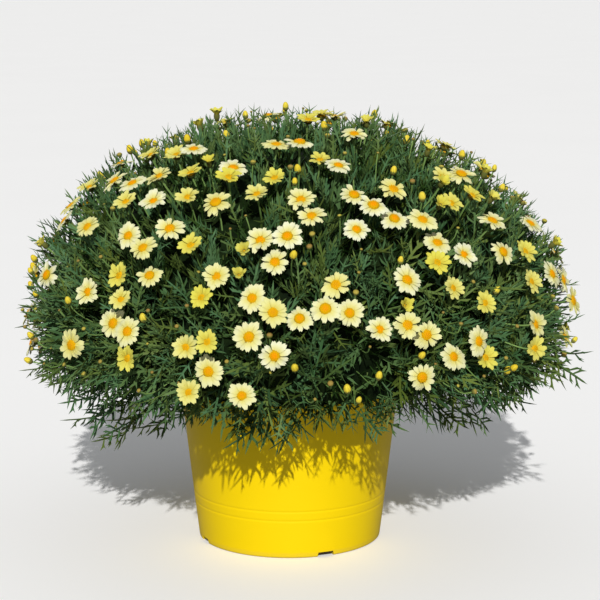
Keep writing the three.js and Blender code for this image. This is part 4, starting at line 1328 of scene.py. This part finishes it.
def petal_paint(graph):
    along = graph.attribute("along")
    age = graph.attribute("tone")
    blade = graph.mix(age, (0.60, 0.565, 0.05), (0.675, 0.69, 0.53))
    root = graph.mix(age, (0.57, 0.45, 0.011), (0.64, 0.58, 0.10))
    shade = graph.mix(graph.between(along, 0.02, 0.72), root, blade)
    # Stripes that are lowest on the grooves: they give the grooves their bump, and their colour is painted
    # shade in the creases.
    groove_relief_and_shade = (graph.attribute("across") * 21).sine() * 0.5 + graph.noise(700, 2) * 0.5
    groove_painted_shade = graph.mix((1 - groove_relief_and_shade) * 0.22, shade, (0.52, 0.49, 0.16))
    return dict(Base_Color=groove_painted_shade, Roughness=0.6, Specular_IOR_Level=0.15,
                Normal=graph.bump(groove_relief_and_shade, 0.00025, 0.7))


petal_finish = finish("lemon_petals", petal_paint)
HEAD_KINDS = [dict(zip(("count", "lift", "unevenness", "size"), kind)) for kind in (
    (14, 5.0, 8.0, 1.0), (13, -3.0, 10.0, 1.03), (14, 12.0, 8.0, 0.98), (12, -8.0, 13.0, 1.0),
    (13, 1.0, 12.0, 0.95), (13, 18.0, 9.0, 0.88), (11, 52.0, 10.0, 0.72))]
OLDEST_KINDS = 5
LEMON_KIND = 5
HALF_OPEN_KIND = 6
petal_meshes = [ray_petal(seed) for seed in range(PETAL_VARIANTS)]
petal_rings = petal_ring_tree()
ring_meshes = [petal_rings.grow(f"petal_ring_{number}", start_point, petal_meshes, petal_finish,
                                seed=10 * number, **kind) for number, kind in enumerate(HEAD_KINDS)]
print("petal rings", [triangles(mesh) for mesh in ring_meshes], "triangles")

# %% Every bloom's ring in its place
LEMON_SHARES = (0.22, 0.58)
LEMON_LEVELS = (0.36, 0.47)


def bloom_stands():
    draws = random.Random(11)
    stands = []
    low, high = LEMON_LEVELS
    for bloom in blooms:
        height = min(1, max(0, (bloom["centre"].z - low) / (high - low)))
        lemon_share = LEMON_SHARES[0] + (LEMON_SHARES[1] - LEMON_SHARES[0]) * height
        kind = draws.randrange(OLDEST_KINDS)
        age = draws.uniform(0.45, 1.0)
        by_chance = draws.random() < lemon_share
        if bloom["young"]:
            kind, age = HALF_OPEN_KIND, draws.uniform(0, 0.15)
        elif bloom.get("lemon", by_chance):
            kind, age = LEMON_KIND, draws.uniform(0, 0.35)
        stands.append({"place": bloom["centre"], "size": bloom["size"], "kind": kind, "tone": age,
                       "turn": standing(bloom["facing"], UP, draws.uniform(0, TURN))})
    return stands


heads = bloom_stands()
sprays = sorted(name for name in frame["nodes"] if name.startswith("flower_spray_"))
plant("ray_petals", heads, ring_meshes, petal_finish, "petals", *sprays, sharp=50)

# %% [markdown]
# ## Discs
#
# The yellow middle is a low dome of tiny florets set in spirals. The spiral rule of a sunflower
# places them: each is a golden angle on, and its distance from the middle grows with the square root
# of its number. The middle is deep orange, and the ring of open florets round it is golden. The dome
# between the florets carries the same "ring" value as they do, so the two change colour together.

# %% The disc and its florets
DISC_RADIUS = 0.0064
DISC_RISE = 0.0028
FLORET_COUNT = 42
DISC_SIDES = 12
YOUNG_DISC = {LEMON_KIND: 0.8, HALF_OPEN_KIND: 0.34}
OUTER_FLORET = 0.97
FLORET_LEAN = 0.9
FLORET_SIZES = (0.19, 0.08)


def disc_dome(radius):
    rows = [(radius, -0.0008)]
    rows += [(radius * math.cos(a), DISC_RISE * 0.75 * math.sin(a)) for a in (0.0, 0.7)]
    return turned("disc_dome", [(0, -0.0008)] + rows + [(0, DISC_RISE * 0.75)], DISC_SIDES)


def floret():
    """A blunt four-sided point, its base sunk in the disc."""
    corners = [0.4 + TURN * i / 4 for i in range(4)]
    points = [(math.cos(a) * 0.6, math.sin(a) * 0.6, -0.3) for a in corners] + [(0, 0, 0.8)]
    return mesh_from("floret", points, [(3, 2, 1, 0)] + [(i, (i + 1) % 4, 4) for i in range(4)])


def disc_tree():
    graph = Growth("disc_florets", radius=DISC_RADIUS)
    radius = graph.given.radius
    number = graph.node("GeometryNodeInputIndex")
    share = ((number + 0.5) / FLORET_COUNT) ** 0.5
    angle = number * GOLDEN_ANGLE
    reach = share * radius * OUTER_FLORET
    height = DISC_RISE * (1 - share * share * 0.95) * 0.75
    place = graph.vector(X=reach * angle.cosine(), Y=reach * angle.sine(), Z=height)
    spots = graph.node("GeometryNodePoints", Count=FLORET_COUNT, Position=place)
    turn = graph.turn(graph.vector(Y=share * share * FLORET_LEAN, Z=angle))
    size = radius * (FLORET_SIZES[0] + share * FLORET_SIZES[1])
    florets = graph.carry(graph.copies(spots, turn, size), "ring", share)
    x = graph.part("X", graph.node("GeometryNodeInputPosition"))
    y = x.other("Y")
    return graph.end(florets, graph.carry(graph.base, "ring", (x * x + y * y) ** 0.5 / radius, "POINT"))


def disc_paint(graph):
    ring = graph.attribute("ring")
    young = graph.ramp(ring, (0.0, (0.42, 0.30, 0.01)), (0.6, (0.60, 0.34, 0.004)),
                       (1.0, (0.7, 0.36, 0.003)))
    ripe = graph.ramp(ring, (0.0, (0.74, 0.27, 0.001)), (0.45, (0.68, 0.28, 0.001)),
                      (0.7, (0.54, 0.30, 0.001)), (1.0, (0.47, 0.28, 0.001)))
    return dict(Base_Color=graph.mix(graph.attribute("tone"), young, ripe), Roughness=0.75,
                Specular_IOR_Level=0.05, Normal=graph.bump(graph.noise(2500, 2), 0.0001, 0.5))


disc_finish = finish("orange_disc", disc_paint)
discs = disc_tree()
disc_meshes = []
for number in range(len(HEAD_KINDS)):
    radius = DISC_RADIUS * YOUNG_DISC.get(number, 1.0)
    disc_meshes.append(discs.grow(f"disc_{number}", disc_dome(radius), [floret()], disc_finish,
                                  radius=radius))
plant("flower_discs", heads, disc_meshes, disc_finish, "petals")

# %% [markdown]
# ## Cups, buds and stalks
#
# Under each bloom is a green cup of overlapping scales with brownish edges. A bud is the same cup,
# still closed round a yellow tip. Both are profiles turned round their axis, and carry how far along
# and around each point lies, which is all that the painted scales need. The cup of a half-open flower
# is slimmer and still stands up round the disc, so that the petals rise out of it.

# %% Profiles of cups and buds
CUP_PROFILE = ((0, -0.0062), (0.0013, -0.006), (0.0038, -0.0046), (0.0058, -0.0022), (0.0061, -0.0006),
               (0, -0.0004))
CUP_SIDES = 10
YOUNG_CUP_PROFILE = ((0, -0.0062), (0.0011, -0.006), (0.0025, -0.0046), (0.0035, -0.0018), (0.0037, 0.0008),
                     (0.0033, 0.0029), (0, 0.0008))
YELLOW_BUD = ((0, -0.0052), (0.0015, -0.0050), (0.0033, -0.0032), (0.0039, -0.0008), (0.0038, 0.0016),
              (0.0031, 0.0040), (0.0018, 0.0060), (0, 0.0067))
GREEN_BUD = ((0, -0.0036), (0.0013, -0.0034), (0.0032, -0.0016), (0.0038, 0.0004), (0.0031, 0.0022),
             (0.0014, 0.0031), (0, 0.0032))
BUD_SIDES = 9
FOLD_PAINTED_SHADE = (0.30, 0.20, 0.02)
YELLOW_TIPS = ((0.71, 0.54, 0.022), (0.75, 0.63, 0.06))
GREEN_TIPS = ((0.44, 0.40, 0.06), (0.22, 0.13, 0.04))
SCALE_ROWS = 4.2
SCALES_AROUND = 10
TIP_FADE = 0.09


def scale_paint(graph, tips=None, level=1):
    """Overlapping green scales with brown edges up to a level, and a tip between two colours with painted
    shade in the folds of its rolled petals.
    """
    along = graph.attribute("along")
    around = graph.attribute("around")
    tone = graph.attribute("tone")
    row = along * SCALE_ROWS
    scallop = (around * (SCALES_AROUND * TURN) + row.whole() * (TURN / 4)).sine() * 0.16
    into_row = (row + scallop).fraction()
    green = graph.mix(tone, (0.085, 0.115, 0.020), (0.18, 0.20, 0.04))
    shade = graph.mix(graph.between(into_row, 0.6, 0.9) * 0.8, green, (0.19, 0.10, 0.028))
    if tips:
        # Painted shade: darker stripes in the folds of the rolled petals on a bud's tip.
        fold_shade_stripes = (around * (7 * TURN) + along * 5).sine() * 0.2 + 0.2
        tip = graph.mix(fold_shade_stripes, graph.mix(tone, *tips), FOLD_PAINTED_SHADE)
        shade = graph.mix(graph.between(along + scallop * 0.35, level, level + TIP_FADE), shade, tip)
    return dict(Base_Color=shade, Roughness=0.65, Specular_IOR_Level=0.2,
                Normal=graph.bump(into_row, 0.0003, 0.6))


cups = [turned("cup", CUP_PROFILE, CUP_SIDES)] * HALF_OPEN_KIND
cups.append(turned("young_cup", YOUNG_CUP_PROFILE, CUP_SIDES))
plant("flower_cups", heads, cups, finish("green_cup", scale_paint), "leaves")

# %% Where the buds stand
BUD_COUNT = 480
BUD_ROOM = 0.020
BUD_SPACING = 0.013
YELLOW_SHARE = 0.30
BUDS_LOWEST = math.radians(104)
BUDS_FROM = 1.1
BUD_STRAY = 0.15
BUD_SINK = 0.006
YELLOW_RISE = 0.016
GREEN_RISE = 0.012
YELLOW_SIZES = (0.85, 1.0, 1.1)
GREEN_SIZES = (0.45, 0.55, 0.7, 0.95)


def covers_bloom(spot):
    """Whether a bud would touch a bloom or stand in front of it."""
    for bloom in blooms:
        away = spot - bloom["centre"]
        if away.length < BUD_ROOM:
            return True
        ways = [(bloom["facing"], 0.06)]
        if bloom["seen"]:
            ways.append(((CAMERA_PLACE - bloom["centre"]).normalized(), 0.5))
        for way, reach in ways:
            ahead = away.dot(way)
            if 0 < ahead < reach and (away - way * ahead).length < BUD_ROOM:
                return True
    return False


def place_buds():
    draws = random.Random(5)
    buds = []
    for i in range(BUD_COUNT):
        azimuth = i * GOLDEN_ANGLE + BUDS_FROM
        polar = spiral_polar(i, BUD_COUNT, BUDS_LOWEST)
        spot = dome_point(azimuth + draws.uniform(-BUD_STRAY, BUD_STRAY), polar, 1)
        yellow = draws.random() < YELLOW_SHARE
        spot += dome_normal(spot) * draws.uniform(-BUD_SINK, YELLOW_RISE if yellow else GREEN_RISE)
        if covers_bloom(spot) or any((bud["place"] - spot).length < BUD_SPACING for bud in buds):
            continue
        facing = blend((dome_normal(spot), 0.6), (UP, 0.8), (any_way(draws), 0.3))
        size = draws.choice(YELLOW_SIZES if yellow else GREEN_SIZES)
        buds.append({"place": spot, "turn": standing(facing, UP, draws.uniform(0, TURN)),
                     "facing": facing, "kind": 0, "tone": draws.random(), "size": size,
                     "yellow": yellow})
    return buds


buds = place_buds()
yellow_finish = finish("yellow_bud", scale_paint, YELLOW_TIPS, 0.36)
green_finish = finish("green_bud", scale_paint, GREEN_TIPS, 0.62)
plant("yellow_buds", [b for b in buds if b["yellow"]], [turned("bud", YELLOW_BUD, BUD_SIDES)],
      yellow_finish, "petals")
plant("green_buds", [b for b in buds if not b["yellow"]], [turned("bud", GREEN_BUD, BUD_SIDES)],
      green_finish, "leaves")

# %% Stalks that follow a curve
STALK_STEPS = 7
STALK_RADIUS = 0.00100
STALK_REACH = 0.078
STALK_DROP = 0.012
STALK_STRAY = 0.014
TOP_BEND = 0.026
FOOT_BEND = 0.03
CUP_DEPTH = 0.0058
BUD_DEPTH = 0.003
BUD_STALK = 0.72


def bezier(a, b, c, d, t):
    s = 1 - t
    return a * s ** 3 + b * (3 * s * s * t) + c * (3 * s * t * t) + d * t ** 3


def line_mesh(name, lines):
    """Edges along each line's points, which carry its thickness at each point and its tone."""
    points = []
    edges = []
    thick = []
    tones = []
    for spots, radii, tone in lines:
        edges += [(len(points) + i, len(points) + i + 1) for i in range(len(spots) - 1)]
        points += spots
        thick += radii
        tones += [tone] * len(spots)
    return mesh_from(name, points, edges=edges, thick=thick, tone=tones)


def stalk_lines():
    """Lines from the foot of every bloom and bud down to the shoots."""
    draws = random.Random(21)
    lines = []
    ends = [(b["centre"] - b["facing"] * CUP_DEPTH, b["facing"], 1.0) for b in blooms]
    ends += [(b["place"] - b["facing"] * BUD_DEPTH * b["size"], b["facing"], BUD_STALK) for b in buds]
    for top, facing, weight in ends:
        out = dome_normal(top)
        foot = top - out * STALK_REACH - UP * STALK_DROP + any_way(draws) * STALK_STRAY
        low_handle = foot + blend((out, 1), (UP, 0.5)) * FOOT_BEND
        steps = [i / STALK_STEPS for i in range(STALK_STEPS + 1)]
        spots = [bezier(top, top - facing * TOP_BEND, low_handle, foot, t) for t in steps]
        radii = [STALK_RADIUS * weight * (1.15 - 0.25 * t + (0.25 if t == 0 else 0)) for t in steps]
        lines.append((spots, radii, draws.random()))
    return line_mesh("stalk_lines", lines)


def tube_tree():
    """Turns edges into tubes as thick as their points say."""
    graph = Growth("tubes", sides=4)
    curves = graph.node("GeometryNodeMeshToCurve", Mesh=graph.base)
    thick = graph.node("GeometryNodeInputNamedAttribute", data_type="FLOAT", Name="thick")
    return graph.end(graph.tube(curves, thick, graph.given.sides))


def stalk_paint(graph):
    shade = graph.mix(graph.attribute("tone"), (0.115, 0.21, 0.05), (0.20, 0.32, 0.09))
    return dict(Base_Color=shade, Roughness=0.5, Specular_IOR_Level=0.35,
                Normal=graph.bump(graph.noise(900, 2), 0.0002, 0.3))


tubes = tube_tree()
stalks = tubes.grow("flower_stalks", stalk_lines(), (), finish("stalk_green", stalk_paint))
add_piece("flower_stalks", stalks, "leaves")

# %% [markdown]
# ## Trunk, limbs and soil
#
# An old marguerite stands on a short woody trunk that forks just above the soil. Its limbs bend out
# to the leafy masses and fork again into twigs. They are lines with a thickness, made into tubes by
# the same tree as the stalks, with bark on them. They only show from below and from the side.

# %% The woody stem
stem_low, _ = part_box("woody_stem")
soil_low, soil_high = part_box("potting_soil")
TRUNK_RADIUS = 0.0118
FORK_LEVEL = 0.212
LIMB_COUNT = 9
TWIGS_PER_LIMB = 5
LIMB_STEPS = 7
TWIG_STEPS = 4
LIMB_RADII = (0.0078, 0.0033)
TWIG_RADII = (0.0026, 0.0014)
LIMB_END = INNER_HOLLOW + 0.12
LIMB_POLARS = (66, 88)
TOP_LIMB_POLAR = 0.1
LIMB_STRAY = 0.15
FORK_OVERLAP = 0.008
LIMB_RISE = 0.045
LIMB_LEAN = 0.12
LIMB_ARCH = 0.02
ARCH_PLACE = 0.6
TWIG_END = 0.68
FIRST_TWIG = 2
TWIG_ASIDE = 0.45
TWIG_SPREAD = (-0.5, 0.45)
TWIG_ARCH = 0.012
TRUNK_ROWS = ((stem_low.z + 0.001, 1.0), (soil_high.z, 1.0), (soil_high.z + 0.012, 0.92),
              (FORK_LEVEL, 1.0))


def thinning(radii, steps):
    """Radii that go evenly from the first to the last."""
    return [radii[0] - (radii[0] - radii[1]) * i / steps for i in range(steps + 1)]


def wood_lines():
    draws = random.Random(31)
    lines = [([Vector((0, 0, z)) for z, _ in TRUNK_ROWS], [TRUNK_RADIUS * w for _, w in TRUNK_ROWS], 0)]
    for limb in range(LIMB_COUNT):
        azimuth = TURN * limb / (LIMB_COUNT - 1) + draws.uniform(-LIMB_STRAY, LIMB_STRAY)
        side_limb = limb < LIMB_COUNT - 1
        polar = math.radians(draws.uniform(*LIMB_POLARS)) if side_limb else TOP_LIMB_POLAR
        end = dome_point(azimuth, polar, LIMB_END)
        start = Vector((0, 0, FORK_LEVEL - FORK_OVERLAP))
        lift = start + UP * LIMB_RISE + (end - start) * LIMB_LEAN
        arch = start.lerp(end, ARCH_PLACE) + UP * LIMB_ARCH
        spots = [bezier(start, lift, arch, end, i / LIMB_STEPS) for i in range(LIMB_STEPS + 1)]
        lines.append((spots, thinning(LIMB_RADII, LIMB_STEPS), 0))
        for twig in range(TWIGS_PER_LIMB):
            root = spots[FIRST_TWIG + twig]
            aside = azimuth + draws.uniform(-TWIG_ASIDE, TWIG_ASIDE)
            tip = dome_point(aside, polar + draws.uniform(*TWIG_SPREAD), TWIG_END)
            bend = root.lerp(tip, 0.5) + UP * TWIG_ARCH
            path = [bezier(root, root.lerp(bend, ARCH_PLACE), bend, tip, i / TWIG_STEPS)
                    for i in range(TWIG_STEPS + 1)]
            lines.append((path, thinning(TWIG_RADII, TWIG_STEPS), 0))
    return line_mesh("wood_lines", lines)


def bark_paint(graph):
    stretched = graph.node("ShaderNodeMapping", Vector=graph.place(), Scale=(1, 1, 0.25))
    ridges = graph.noise(260, 4, stretched)
    shade = graph.ramp(ridges, (0.25, (0.05, 0.032, 0.018)), (0.55, (0.13, 0.09, 0.05)),
                       (0.8, (0.22, 0.17, 0.1)))
    return dict(Base_Color=shade, Roughness=0.85, Normal=graph.bump(ridges, 0.0012, 0.9))


wood = tubes.grow("woody_trunk_and_limbs", wood_lines(), (), finish("bark", bark_paint), sides=9)
add_piece("woody_trunk_and_limbs", wood, "woody_stem", "woody_stem")

# %% The soil
SOIL_RINGS = 26
SOIL_SIDES = 84
SOIL_EDGE = 0.176
CRUMB_DENSITY = 9000
CRUMB_KINDS = 3
SOIL_CLEARANCE = 0.0004
SOIL_WAVES = ((0.003, 60), (0.0016, 210))
SOIL_EVEN_EDGE = 0.001
CRUMB_RADIUS = 0.0021
CRUMB_DENTS = (0.6, 1.15)


def soil_surface():
    """A closed plug: a rough domed top, a straight wall and a flat underside."""
    wall = pot_radius(SOIL_EDGE) - POT_WALL - SOIL_CLEARANCE
    foot = pot_radius(soil_low.z) - POT_WALL - SOIL_CLEARANCE
    profile = [(0, soil_low.z), (foot, soil_low.z)]
    for i in range(SOIL_RINGS):
        share = 1 - i / SOIL_RINGS
        profile.append((wall * share, SOIL_EDGE + (soil_high.z - SOIL_EDGE) * (1 - share)))
    profile.append((0, soil_high.z))
    mesh = turned("soil", profile, SOIL_SIDES)
    for point in mesh.vertices:
        if point.co.z > SOIL_EDGE and point.co.xy.length < wall - SOIL_EVEN_EDGE:
            point.co.z += sum(depth * noise.noise(point.co * wave) for depth, wave in SOIL_WAVES)
    return mesh


def crumb(seed):
    body = bmesh.new()
    bmesh.ops.create_icosphere(body, subdivisions=1, radius=CRUMB_RADIUS)
    draws = random.Random(seed)
    for corner in body.verts:
        corner.co *= draws.uniform(*CRUMB_DENTS)
    mesh = bpy.data.meshes.new("crumb")
    body.to_mesh(mesh)
    body.free()
    return mesh


def crumb_tree():
    graph = Growth("soil_crumbs", seed=1)
    height = graph.part("Z", graph.node("GeometryNodeInputPosition"))
    spots = graph.node("GeometryNodeDistributePointsOnFaces", Mesh=graph.base, Density=CRUMB_DENSITY,
                       Selection=height.above(SOIL_EDGE), Seed=graph.given.seed)
    tumble = graph.turn(graph.vector(X=graph.drawn(0, TURN, 1), Y=graph.drawn(0, TURN, 2)))
    shape = graph.drawn(0, CRUMB_KINDS - 1, 3, "INT")
    return graph.end(graph.copies(spots, tumble, graph.drawn(0.45, 1.4, 4), shape), graph.base)


def soil_paint(graph):
    grain = graph.noise(420, 5)
    shade = graph.ramp(grain, (0.3, (0.012, 0.007, 0.004)), (0.55, (0.045, 0.028, 0.016)),
                       (0.8, (0.11, 0.075, 0.045)))
    return dict(Base_Color=shade, Roughness=0.95, Specular_IOR_Level=0.1,
                Normal=graph.bump(grain, 0.002, 0.9))


crumbs = [crumb(seed) for seed in range(CRUMB_KINDS)]
soil = crumb_tree().grow("soil", soil_surface(), crumbs, finish("moist_soil", soil_paint))
add_piece("soil", soil, "potting_soil", "potting_soil", sharp=None)

# %% The sizes of the dressed plant, and the end
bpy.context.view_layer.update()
total = sum(triangles(piece.data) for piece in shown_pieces() if not piece.hide_render)
print("triangles in all", total)
